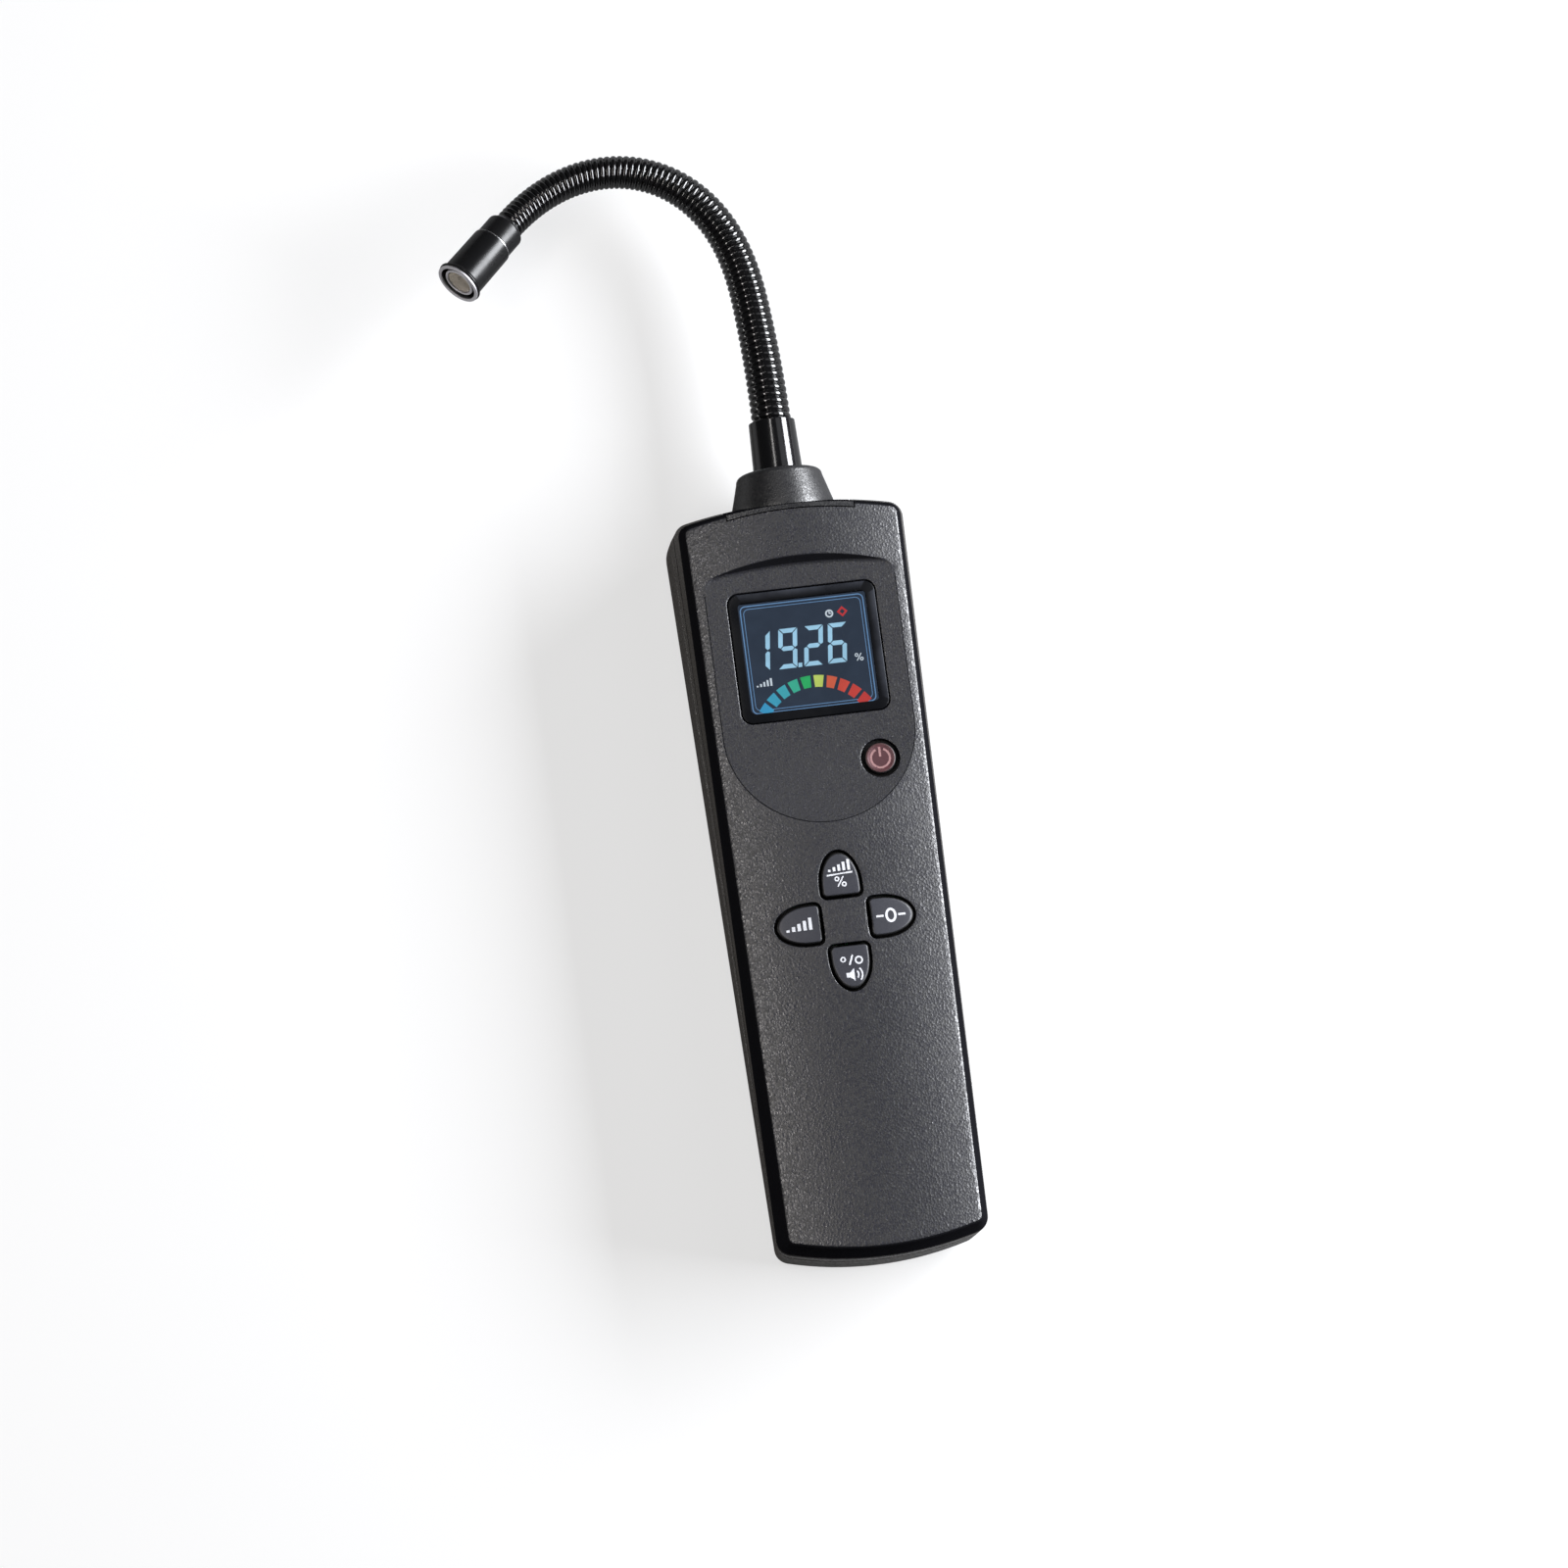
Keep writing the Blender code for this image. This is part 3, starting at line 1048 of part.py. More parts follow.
def make_base_ferrule():
    seat = FERRULE_TIP_Y - NECK_SEAT_DEPTH
    mouth = NECK_BASE_RADIUS + GAP
    profile = [
        (FERRULE_BORE_RADIUS, TAIL_END_Y), (FERRULE_TAIL_RADIUS, TAIL_END_Y),
        (FERRULE_TAIL_RADIUS, FERRULE_SEAT_Y + GAP), (FERRULE_BASE_RADIUS, FERRULE_SEAT_Y + GAP),
        (FERRULE_BASE_RADIUS, COLLAR_TIP_Y + GAP),
        (FERRULE_TIP_RADIUS, FERRULE_TIP_Y - EDGE_BREAK),
        (FERRULE_TIP_RADIUS - EDGE_BREAK, FERRULE_TIP_Y),
        (mouth, FERRULE_TIP_Y), (mouth, seat), (FERRULE_BORE_RADIUS, seat),
    ]
    mesh = along_neck_axis(turned(profile, ROUND_STEPS, hollow=True))
    add_object("base_ferrule", mesh, "black_metal")

    outer = circle(NUT_HALF_ACROSS_FLATS / math.cos(math.pi / 6), 6)
    hex_outline = []
    per_side = 4
    for i in range(6):
        a = Vector(outer[i])
        b = Vector(outer[(i + 1) % 6])
        hex_outline += [a.lerp(b, k / per_side) for k in range(per_side)]
    hole = circle(FERRULE_TAIL_RADIUS + GAP, 6 * per_side)
    section = ((hole, NUT_BOTTOM_Y), (hex_outline, NUT_BOTTOM_Y), (hex_outline, NUT_TOP_Y), (hole, NUT_TOP_Y))
    rings = [[(point[0], point[1], y) for point in ring] for ring, y in section]
    add_object("neck_nut", along_neck_axis(loft(rings, closed=True)), "steel")


# Gooseneck route

def ease(value):
    value = min(max(value, 0.0), 1.0)
    return value * value * (3 - 2 * value)


def neck_direction(s):
    """Unit tangent of the neck at arc length s from the ferrule's mouth."""
    t = min(max(s / NECK_LENGTH, 0.0), 1.0)
    heading = math.radians(NECK_LEAN * t + NECK_BEND * ease((t - NECK_BEND_START) / NECK_BEND_SPAN))
    rise = math.radians(NECK_TIP_RISE * ease((t - NECK_RISE_START) / (1 - NECK_RISE_START)))
    return Vector((-math.sin(heading) * math.cos(rise), math.cos(heading) * math.cos(rise), math.sin(rise)))


def neck_route(stations):
    """Points and tangents of the neck at rising arc lengths. It runs on straight past both ends."""
    here = Vector((0.0, FERRULE_TIP_Y, NECK_Z)) + neck_direction(0.0) * stations[0]
    route = [(here.copy(), neck_direction(stations[0]))]
    for before, after in zip(stations, stations[1:]):
        steps = max(1, math.ceil((after - before) * ROUTE_DIVISIONS / NECK_LENGTH))
        step = (after - before) / steps
        for i in range(steps):
            here += neck_direction(before + step * (i + 0.5)) * step
        route.append((here.copy(), neck_direction(after)))
    return route


def ring_across(point, tangent, radius, sides):
    across = tangent.cross(Vector((0.0, 0.0, 1.0))).normalized()
    up = across.cross(tangent)
    return [point + (across * math.cos(a) + up * math.sin(a)) * radius
            for a in [math.tau * i / sides for i in range(sides)]]


def neck_radius(s):
    t = min(max(s / NECK_LENGTH, 0.0), 1.0)
    return NECK_BASE_RADIUS + (NECK_TIP_RADIUS - NECK_BASE_RADIUS) * t


def make_gooseneck():
    """Ridged tube whose ridges get finer with its diameter, with a plain bore for the cable."""
    start = GAP - NECK_SEAT_DEPTH
    end = NECK_LENGTH + HEAD_NECK_SEAT
    stations = [start]
    radii = [neck_radius(0.0) * (1 - RIDGE_DEPTH_RATIO)]
    s = 0.0
    while s < NECK_LENGTH:
        radius = neck_radius(s)
        pitch = RIDGE_PITCH_RATIO * radius
        stations += [s, s + pitch / 2]
        radii += [radius * (1 - RIDGE_DEPTH_RATIO), radius]
        s += pitch
    stations += [s, end]
    radii += [neck_radius(s) * (1 - RIDGE_DEPTH_RATIO)] * 2
    rings = [ring_across(point, tangent, radius, NECK_SIDES)
             for (point, tangent), radius in zip(neck_route(stations), radii)]
    bore_stations = [start + (end - start) * i / NECK_BORE_STEPS for i in range(NECK_BORE_STEPS + 1)]
    bore = [ring_across(point, tangent, NECK_BORE_RADIUS, NECK_SIDES)
            for point, tangent in neck_route(bore_stations)]
    add_object("gooseneck", loft(rings + list(reversed(bore)), closed=True), "black_metal", RIDGE_SHARP_ANGLE)


def make_cable():
    """Sensor lead from the board's connector, down to the neck's axis and along its bore."""
    start = Vector((0.0, CONNECTOR_Y + CONNECTOR_LENGTH / 2 + GAP, BOARD_Z - GAP - CONNECTOR_HEIGHT / 2))
    leave = start + Vector((0.0, CABLE_STRAIGHT, 0.0))
    enter = Vector((0.0, TAIL_END_Y, NECK_Z))
    points = [start]
    steps = 8
    for i in range(steps):
        share = i / steps
        points.append(Vector((0.0, leave.y + (enter.y - leave.y) * share,
                              leave.z + (enter.z - leave.z) * ease(share))))
    inner_end = NECK_LENGTH + SOCKET_REAR - GAP
    first = TAIL_END_Y - FERRULE_TIP_Y
    count = 26
    stations = [first + (inner_end - first) * i / count for i in range(count + 1)]
    points += [point for point, _ in neck_route(stations)]
    curve = bpy.data.curves.new("sensor_cable", "CURVE")
    curve.dimensions = "3D"
    curve.bevel_depth = CABLE_RADIUS
    curve.bevel_resolution = 1
    curve.use_fill_caps = True
    spline = curve.splines.new("POLY")
    spline.points.add(len(points) - 1)
    for spline_point, point in zip(spline.points, points):
        spline_point.co = (*point, 1.0)
    curve.materials.append(bpy.data.materials["cable_sheath"])
    cable = bpy.data.objects.new("sensor_cable", curve)
    bpy.context.scene.collection.objects.link(cable)


# Sensor head

def make_head():
    """Head pieces, turned round the local Z of an empty that sits at the neck's tip."""
    (tip, direction), = neck_route([0.0, NECK_LENGTH])[1:]
    frame = bpy.data.objects.new("head_axis", None)
    bpy.context.scene.collection.objects.link(frame)
    frame.location = tip
    frame.rotation_euler = direction.to_track_quat("Z", "Y").to_euler()

    seat = HEAD_NECK_SEAT + GAP
    neck_hole = NECK_TIP_RADIUS + GAP
    cable_hole = CABLE_RADIUS + CABLE_PLAY
    step = HEAD_FERRULE_ROUND
    pieces = {}
    pieces["head_ferrule"] = ([
        (neck_hole, 0.0), (HEAD_FERRULE_RADIUS - step, 0.0), (HEAD_FERRULE_RADIUS - 0.3 * step, 0.3 * step),
        (HEAD_FERRULE_RADIUS, step), (HEAD_FERRULE_RADIUS, HEAD_FERRULE_LENGTH),
        (SPIGOT_RADIUS, HEAD_FERRULE_LENGTH), (SPIGOT_RADIUS, HEAD_FERRULE_LENGTH + SPIGOT_LENGTH),
        (cable_hole, HEAD_FERRULE_LENGTH + SPIGOT_LENGTH), (cable_hole, seat), (neck_hole, seat),
    ], "black_metal")
    rear_bore = SPIGOT_RADIUS + GAP
    pieces["sensor_cap"] = ([
        (rear_bore, CAP_REAR), (CAP_REAR_RADIUS - EDGE_BREAK, CAP_REAR),
        (CAP_REAR_RADIUS, CAP_REAR + EDGE_BREAK),
        (CAP_FRONT_RADIUS, CAP_FRONT - CAP_LIP_LENGTH - EDGE_BREAK),
        (CAP_LIP_RADIUS, CAP_FRONT - CAP_LIP_LENGTH), (CAP_LIP_RADIUS, CAP_FRONT - GAP),
        (CAP_BORE_RADIUS, CAP_FRONT - GAP), (CAP_BORE_RADIUS, SOCKET_REAR),
        (rear_bore, SOCKET_REAR - EDGE_BREAK),
    ], "black_metal")
    pieces["cap_ring"] = ([
        (CAP_BORE_RADIUS, CAP_FRONT), (CAP_LIP_RADIUS, CAP_FRONT), (CAP_LIP_RADIUS, HEAD_LENGTH - FINE_BREAK),
        (CAP_LIP_RADIUS - FINE_BREAK, HEAD_LENGTH), (CAP_BORE_RADIUS, HEAD_LENGTH),
    ], "bright_metal")
    for name, (profile, material_name) in pieces.items():
        piece = add_object(name, turned(profile, ROUND_STEPS, hollow=True), material_name)
        piece.parent = frame

    can_inner = CAN_RADIUS - CAN_RIM
    solids = {}
    solids["sensor_socket"] = ([
        (CAP_BORE_RADIUS - GAP - EDGE_BREAK, SOCKET_REAR), (CAP_BORE_RADIUS - GAP, SOCKET_REAR + EDGE_BREAK),
        (CAP_BORE_RADIUS - GAP, SOCKET_FRONT),
    ], "mat_rubber")
    solids["sensor_can"] = ([
        (CAN_RADIUS, CAN_REAR), (CAN_RADIUS, CAN_FRONT - FINE_BREAK), (CAN_RADIUS - FINE_BREAK, CAN_FRONT),
        (can_inner, CAN_FRONT), (can_inner, CAN_FRONT - CAN_DEEP),
    ], "bright_metal")
    mesh_rear = CAN_FRONT - CAN_DEEP + GAP
    mesh_radius = can_inner - GAP
    mesh_profile = [(mesh_radius, mesh_rear), (mesh_radius, mesh_rear + MESH_THICKNESS)]
    for share in (0.66, 0.33):
        mesh_profile.append((mesh_radius * share, mesh_rear + MESH_THICKNESS + MESH_DOME * (1 - share**2)))
    solids["sensor_mesh"] = (mesh_profile, "mesh_metal")
    for name, (profile, material_name) in solids.items():
        piece = add_object(name, turned(profile, ROUND_STEPS), material_name)
        piece.parent = frame


def main():
    for obj in list(bpy.data.objects):
        bpy.data.objects.remove(obj)
    make_materials()
    make_front_cover()
    make_rear_cover()
    make_battery_door()
    make_display()
    make_board()
    make_buttons()
    make_screws()
    make_batteries()
    make_neck_mount()
    make_base_ferrule()
    make_gooseneck()
    make_cable()
    make_head()


main()
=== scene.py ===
"""Looks of the handheld gas leak detector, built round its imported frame.

The frame's coordinates: the flat back on z = 0, +Z out of the display face, +Y towards the
probe and +X to the reader's right. Lengths are in metres.
"""

import math

import bmesh
import bpy
from mathutils import Matrix, Vector
from mathutils.geometry import delaunay_2d_cdt


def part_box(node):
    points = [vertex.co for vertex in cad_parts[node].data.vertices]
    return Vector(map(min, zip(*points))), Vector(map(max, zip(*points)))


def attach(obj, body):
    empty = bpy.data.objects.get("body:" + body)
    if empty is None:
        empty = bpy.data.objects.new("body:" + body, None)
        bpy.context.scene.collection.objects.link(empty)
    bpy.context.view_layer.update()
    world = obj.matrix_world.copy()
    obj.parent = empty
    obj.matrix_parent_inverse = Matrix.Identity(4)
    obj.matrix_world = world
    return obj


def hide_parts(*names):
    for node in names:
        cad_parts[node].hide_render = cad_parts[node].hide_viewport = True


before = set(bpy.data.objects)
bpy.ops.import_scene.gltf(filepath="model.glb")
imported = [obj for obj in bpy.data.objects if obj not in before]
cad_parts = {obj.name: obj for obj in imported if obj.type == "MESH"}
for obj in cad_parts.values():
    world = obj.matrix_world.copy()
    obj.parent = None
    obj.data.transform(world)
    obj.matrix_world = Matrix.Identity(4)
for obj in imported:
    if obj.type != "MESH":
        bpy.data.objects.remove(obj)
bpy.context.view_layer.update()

MM = 0.001
GAP = 0.3 * MM
WELD = 0.002 * MM
# Spacing of the points on the face: rows, their margin from edges, and the least distance of any two
FACE_PITCH = 1.15 * MM
FACE_MARGIN = 0.55 * MM
LEAST_SPACING = 0.14 * MM

# Camera of the photograph: place, then its right, up and backward axes
CAMERA_PLACE = (-0.154711, -0.196940, 1.512179)
CAMERA_AXES = (
    (0.988537, -0.129973, 0.076818),
    (0.116651, 0.980541, 0.157900),
    (-0.095846, -0.147129, 0.984463),
)
CAMERA_LENS = 134.88
CAMERA_SENSOR = 36.0

# Housing, as in the solids
HALF_LENGTH = 93.0 * MM
FACE_WIDTH_TOP = 56.0 * MM
FACE_WIDTH_BOTTOM = 50.6 * MM
FACE_TOP_BOW = 3.6 * MM
FACE_BOTTOM_BOW = 4.0 * MM
FACE_CORNER = 2.2 * MM
LEAST_CORNER = 0.6 * MM
FACE_EDGE_Z = 33.0 * MM
FACE_EDGE_ROUND = 0.75 * MM
# Share of the edge round that still has the face's grain
EDGE_TEXTURED = 0.15
CROWN_RISE = 3.2 * MM
CROWN_HALF_WIDTH = FACE_WIDTH_TOP / 2
CROWN_RADIUS = (CROWN_HALF_WIDTH**2 + CROWN_RISE**2) / (2 * CROWN_RISE)
CROWN_TOP_Z = FACE_EDGE_Z + CROWN_RISE
WALL = 2.2 * MM
SKIN = 0.7 * MM
PARTING_Z = 24.5 * MM
REAR_RIM_Z = PARTING_Z - GAP
PARTING_FLARE = 2.0 * MM
PARTING_FLARE_BOTTOM = 1.2 * MM
PARTING_BREAK = 0.35 * MM
# Grey rim over the parting line, under the wall painted black as painted shade: its top at the lower end, and
# how much it rises to the upper end
RIM_LOW_Z = PARTING_Z + PARTING_BREAK + 0.1 * MM
RIM_RISE = 3.6 * MM
TONGUE_HEIGHT = 1.6 * MM
TONGUE_THICKNESS = 0.8 * MM

REAR_WIDEST_Z = 13.0 * MM
REAR_SIDE_TOP = 1.2 * MM
REAR_SIDE_BOTTOM = -1.0 * MM
REAR_END_TOP = 0.6 * MM
REAR_END_BOTTOM = 0.7 * MM
REAR_CORNER_TOP = 7.0 * MM
REAR_CORNER_BOTTOM = 4.0 * MM
BACK_EDGE_ROUND = 5.5 * MM
BACK_BORDER = 0.6 * MM
GROOVE_Z = 19.4 * MM
GROOVE_WIDTH = 0.9 * MM
GROOVE_DEPTH = 0.5 * MM
GROOVE_BREAK = 0.18 * MM

# Display recess and display
RECESS_HALF_WIDTH = 24.75 * MM
RECESS_TOP_Y = 82.4 * MM
RECESS_TOP_SAG = 3.9 * MM
RECESS_TOP_CORNER = 3.0 * MM
RECESS_SIDE_END = RECESS_TOP_Y - RECESS_TOP_SAG - RECESS_TOP_CORNER
RECESS_WALL_SLOPE = 0.78
RECESS_ROUND_Y = 37.4 * MM
LIP_BLEND = 0.09 * MM
CREASE_HALF_WIDTH = 0.15 * MM
CREASE_DEPTH = 0.22 * MM
CREASE_RUN_OUT = 0.2 * MM
FOOT_BLEND = 0.8 * MM
DISPLAY_Y = 57.35 * MM
LENS_WIDTH = 38.7 * MM
LENS_HEIGHT = 34.3 * MM
LENS_CORNER = 3.0 * MM
LENS_LEDGE = 2.6 * MM
LENS_POCKET = 1.5 * MM
LENS_THICKNESS = 1.0 * MM

# Keys and power button
POWER_X = 14.66 * MM
POWER_Y = 27.8 * MM
POWER_HOLE_RADIUS = 5.0 * MM
POWER_RADIUS = 4.0 * MM
KEY_CROSS_Y = -13.05 * MM
KEY_SPREAD = 12.0 * MM
KEY_HOLE_WIDTH = 11.2 * MM
KEY_HOLE_LENGTH = 12.6 * MM
KEY_HOLE_ARCH = 8.8 * MM
KEY_HOLE_CORNER = 1.9 * MM
KEY_PLAY = 0.8 * MM
KEY_PROUD = 0.54 * MM
KEY_ROUND = 0.5 * MM
KEY_ARCH_SLOPE = 0.45 * MM
KEY_ARCH_STEPS = 32
FLANGE_HEIGHT = 1.1 * MM
FLANGE_REACH = 1.0 * MM
POWER_RIM = 0.65 * MM
POWER_DISH = 0.18 * MM
POWER_DISH_SLOPE = 0.5 * MM
HOLE_ROUND = 0.24 * MM

# Battery door and compartment
DOOR_HALF_WIDTH = 17.0 * MM
DOOR_SKIN = 1.2 * MM
DOOR_RUNNER = 1.1 * MM
DOOR_TONGUE = 1.1 * MM
DOOR_FLUSH_STEP = 0.2 * MM
DOOR_TOP_Y = -42.55 * MM
DOOR_GRIP_LENGTH = 16.0 * MM
DOOR_GRIP_WIDTH = 1.0 * MM
DOOR_GRIP_DEPTH = 0.5 * MM
DOOR_GRIP_PITCH = 2.2 * MM
DOOR_GRIP_MARGIN = 5.0 * MM
COMPARTMENT_WALL = 1.5 * MM
SCREW_HEAD_RADIUS = 2.6 * MM
SCREW_SEAT_Z = 18.0 * MM
SCREW_HOLE_RADIUS = 1.75 * MM
SCREW_BORE_FLARE = 0.35 * MM
POST_WALL = 1.3 * MM

# Neck mount, ferrule and neck; the neck's bend is set by shares of its length, and by angles in degrees
NECK_Z = 17.5 * MM
INSERT_HALF_WIDTH = 16.5 * MM
INSERT_STRIP = 1.8 * MM
INSERT_BOTTOM_Z = 3.9 * MM
COLLAR_TIP_Y = 107.8 * MM
COLLAR_BASE_RADIUS = 13.4 * MM
COLLAR_TIP_RADIUS = 11.3 * MM
COLLAR_SHOULDER = 1.6 * MM
COLLAR_MOUTH_BREAK = 0.3 * MM
FERRULE_SEAT_Y = 98.0 * MM
FERRULE_TIP_Y = 121.6 * MM
FERRULE_BASE_RADIUS = 6.45 * MM
FERRULE_TIP_RADIUS = 6.05 * MM
FERRULE_TAIL_RADIUS = 5.0 * MM
FERRULE_TAIL_Y = 86.6 * MM
FERRULE_BORE_RADIUS = 2.6 * MM
NECK_SEAT_DEPTH = 6.0 * MM
NECK_LENGTH = 121.3 * MM
NECK_LEAN = 18.8
NECK_BEND = 119.4
NECK_BEND_START = 0.236
NECK_BEND_SPAN = 0.842
NECK_TIP_RISE = 17.0
NECK_RISE_START = 0.7
NECK_BASE_RADIUS = 5.2 * MM
NECK_TIP_RADIUS = 3.98 * MM
RIDGE_PITCH_RATIO = 0.355
RIDGE_DEPTH_RATIO = 0.15
RIDGE_STEPS_PER_TURN = 10
RIDGE_SIDES = 40
HEAD_LENGTH = 22.2 * MM
HEAD_NECK_SEAT = 4.0 * MM
HEAD_STEPS = 84
GAUZE_RADIUS = 3.35 * MM
GAUZE_PITCH = 0.3 * MM
GAUZE_WIRE = 0.065 * MM
GAUZE_DOME = 0.25 * MM

FAR = 20.0 * MM
OVERCUT = 2.0 * MM
TURN_STEPS = 96

# Floor: reflectance for bounced light and for the camera, and the share of plain white
# in what the camera sees
FLOOR_HALF_SIZE = 6.0
FLOOR_DROP = 0.1 * MM
FLOOR_BOUNCE = 0.28
FLOOR_SEEN = 0.95
FLOOR_GLOW = 0.62
WORLD_COLOUR = (0.95, 0.97, 1.0)
WORLD_STRENGTH = 0.045

COOL = (0.94, 0.96, 1.0)
WARM = (1.0, 0.95, 0.91)
MILD = (1.0, 0.98, 0.96)
LAMP_AIM = (-0.01, 0.05, 0.02)
# Name, place, width, length, radiance, tint, turn in degrees
LAMPS = (
    ("lamp_right", (0.87, 0.15, 0.52), 0.38, 1.0, 17.0, COOL, 0.0),
    ("lamp_fill", (0.5, 0.13, 0.98), 0.4, 0.9, 0.36, COOL, 0.0),
    ("lamp_left", (-0.47, -0.08, 1.05), 0.1, 0.74, 10.0, WARM, 0.0),
    ("lamp_top", (-0.17, 0.42, 1.0), 0.045, 0.6, 5.0, MILD, 59.0),
    ("lamp_edge", (-1.0, -0.03, 0.07), 0.08, 0.6, 5.8, MILD, 0.0),
)


def linear(red, green, blue):
    """A colour given as it looks on a screen, 0 to 255, as shader values."""
    return tuple((c / 255 / 12.92) if c <= 10 else ((c / 255 + 0.055) / 1.055) ** 2.4
                 for c in (red, green, blue))


# Materials

class Nodes:
    """The node tree of a material or world, with a short way to add and join nodes."""

    def __init__(self, owner):
        owner.use_nodes = True
        self.tree = owner.node_tree

    def add(self, kind, links=None, values=None, **settings):
        node = self.tree.nodes.new(kind)
        for setting, value in settings.items():
            setattr(node, setting, value)
        for socket, value in (values or {}).items():
            node.inputs[socket].default_value = value
        for socket, source in (links or {}).items():
            self.tree.links.new(source, node.inputs[socket])
        return node


class Shader(Nodes):
    """A material with a principled shader."""

    def __init__(self, name, colour, roughness, metallic=0.0, **sockets):
        self.material = bpy.data.materials.new(name)
        super().__init__(self.material)
        self.principled = self.tree.nodes["Principled BSDF"]
        self.principled.inputs["Base Color"].default_value = (*colour, 1.0)
        self.principled.inputs["Roughness"].default_value = roughness
        self.principled.inputs["Metallic"].default_value = metallic
        for socket, value in sockets.items():
            self.principled.inputs[socket.replace("_", " ")].default_value = value
        self.material.diffuse_color = (*colour, 1.0)
        self.place = self.add("ShaderNodeTexCoord").outputs["Object"]

    def noise(self, scale, detail=2.0, roughness=0.5):
        node = self.add("ShaderNodeTexNoise", {"Vector": self.place},
                        {"Scale": scale, "Detail": detail, "Roughness": roughness})
        return node.outputs["Fac"]

    def cells(self, scale):
        """Height of small rounded pits packed side by side, and a random tone for each."""
        node = self.add("ShaderNodeTexVoronoi", {"Vector": self.place},
                        {"Scale": scale, "Randomness": 1.0})
        tone = self.add("ShaderNodeSeparateColor", {"Color": node.outputs["Color"]}).outputs["Red"]
        return self.times(node.outputs["Distance"], node.outputs["Distance"]), tone

    def spread(self, source, low, high, to_low=0.0, to_high=1.0):
        """A value's range from low to high, laid over another range and held inside it."""
        node = self.add("ShaderNodeMapRange", {"Value": source},
                        {"From Min": low, "From Max": high, "To Min": to_low, "To Max": to_high})
        return node.outputs["Result"]

    def times(self, a, b):
        """A value times another, or times a number."""
        if isinstance(b, float):
            return self.add("ShaderNodeMath", {0: a}, {1: b}, operation="MULTIPLY").outputs[0]
        return self.add("ShaderNodeMath", {0: a, 1: b}, operation="MULTIPLY").outputs[0]

    def plus(self, a, b):
        return self.add("ShaderNodeMath", {0: a, 1: b}, operation="ADD").outputs[0]

    def mix(self, share, low, high):
        """A colour between two, each a tuple or a socket; the share is a number or a socket."""
        node = self.add("ShaderNodeMix", data_type="RGBA")
        if isinstance(share, float):
            node.inputs["Factor"].default_value = share
        else:
            self.tree.links.new(share, node.inputs["Factor"])
        for socket, value in (("A", low), ("B", high)):
            target = [i for i in node.inputs if i.name == socket and i.type == "RGBA"][0]
            if isinstance(value, tuple):
                target.default_value = (*value, 1.0)
            else:
                self.tree.links.new(value, target)
        return [o for o in node.outputs if o.type == "RGBA"][0]

    def to(self, socket, source):
        self.tree.links.new(source, self.principled.inputs[socket])

    def bump(self, height, depth):
        node = self.add("ShaderNodeBump", {"Height": height}, {"Strength": 1.0, "Distance": depth})
        self.to("Normal", node.outputs["Normal"])

    def edge(self, low, high):
        """Share of wear, from 0 on flat surfaces to 1 on sharp outer edges."""
        pointiness = self.add("ShaderNodeNewGeometry").outputs["Pointiness"]
        return self.spread(pointiness, low, high)

    def uneven(self, source, low, high):
        """Base colour that drifts between two with a noise."""
        self.to("Base Color", self.mix(self.spread(source, 0.3, 0.7), low, high))


def held(value):
    """A value kept between 0 and 1."""
    return min(max(value, 0.0), 1.0)


def scaled(colour, factor):
    return tuple(c * factor for c in colour)


def moulded(name, colour, roughness, grain, depth, speckle, wear, shine=0.7):
    """Moulded plastic with a spark-eroded grain, faint handling marks and paler worn edges.

    Grain is per metre, speckle the grain's contrast, wear the paleness of edges, shine the gloss.
    """
    shader = Shader(name, colour, roughness, Specular_IOR_Level=shine)
    pits, tone = shader.cells(grain)
    coarse = shader.noise(grain, 2.0, 0.5)
    height = shader.plus(shader.times(coarse, 0.6), pits)
    spots = shader.plus(shader.spread(coarse, 0.3, 0.7, 0.0, 0.2), shader.times(tone, 0.8))
    handled = shader.noise(38.0, 3.0, 0.6)
    base = shader.mix(spots, scaled(colour, 1 - speckle), scaled(colour, 1 + speckle))
    cloudy = shader.mix(shader.spread(handled, 0.35, 0.7), scaled(colour, 0.97), scaled(colour, 1.05))
    blended = shader.mix(0.15, base, cloudy)
    scuffs = shader.spread(shader.noise(260.0), 0.35, 0.65, 0.3, 1.0)
    worn = shader.times(shader.edge(0.515, 0.60), scuffs)
    shader.to("Base Color", shader.mix(shader.times(worn, wear), blended, scaled(colour, 2.6)))
    faint = shader.spread(handled, 0.0, 1.0, 0.25, 0.75)
    marks = shader.plus(shader.plus(spots, faint), worn)
    shader.to("Roughness", shader.spread(marks, 0.4, 1.7, roughness * 1.5, roughness * 0.55))
    shader.bump(height, depth)
    return shader.material


def gloss_black(name, colour, roughness, coat=0.49, shine=0.7):
    """Black plated metal: a deep gloss with faint wipe marks, and a trace of paler edge."""
    shader = Shader(name, colour, roughness, Coat_Weight=coat, Coat_Roughness=0.06,
                    Specular_IOR_Level=shine)
    smear = shader.noise(85.0, 4.0, 0.6)
    dust = shader.noise(2600.0, 1.0, 0.4)
    shader.to("Roughness", shader.spread(smear, 0.3, 0.75, roughness * 0.75, roughness * 1.5))
    worn = shader.times(shader.edge(0.53, 0.64), shader.spread(smear, 0.3, 0.6, 0.2, 1.0))
    shader.to("Base Color", shader.mix(worn, colour, scaled(colour, 9.0)))
    shader.bump(dust, 0.004 * MM)
    return shader.material


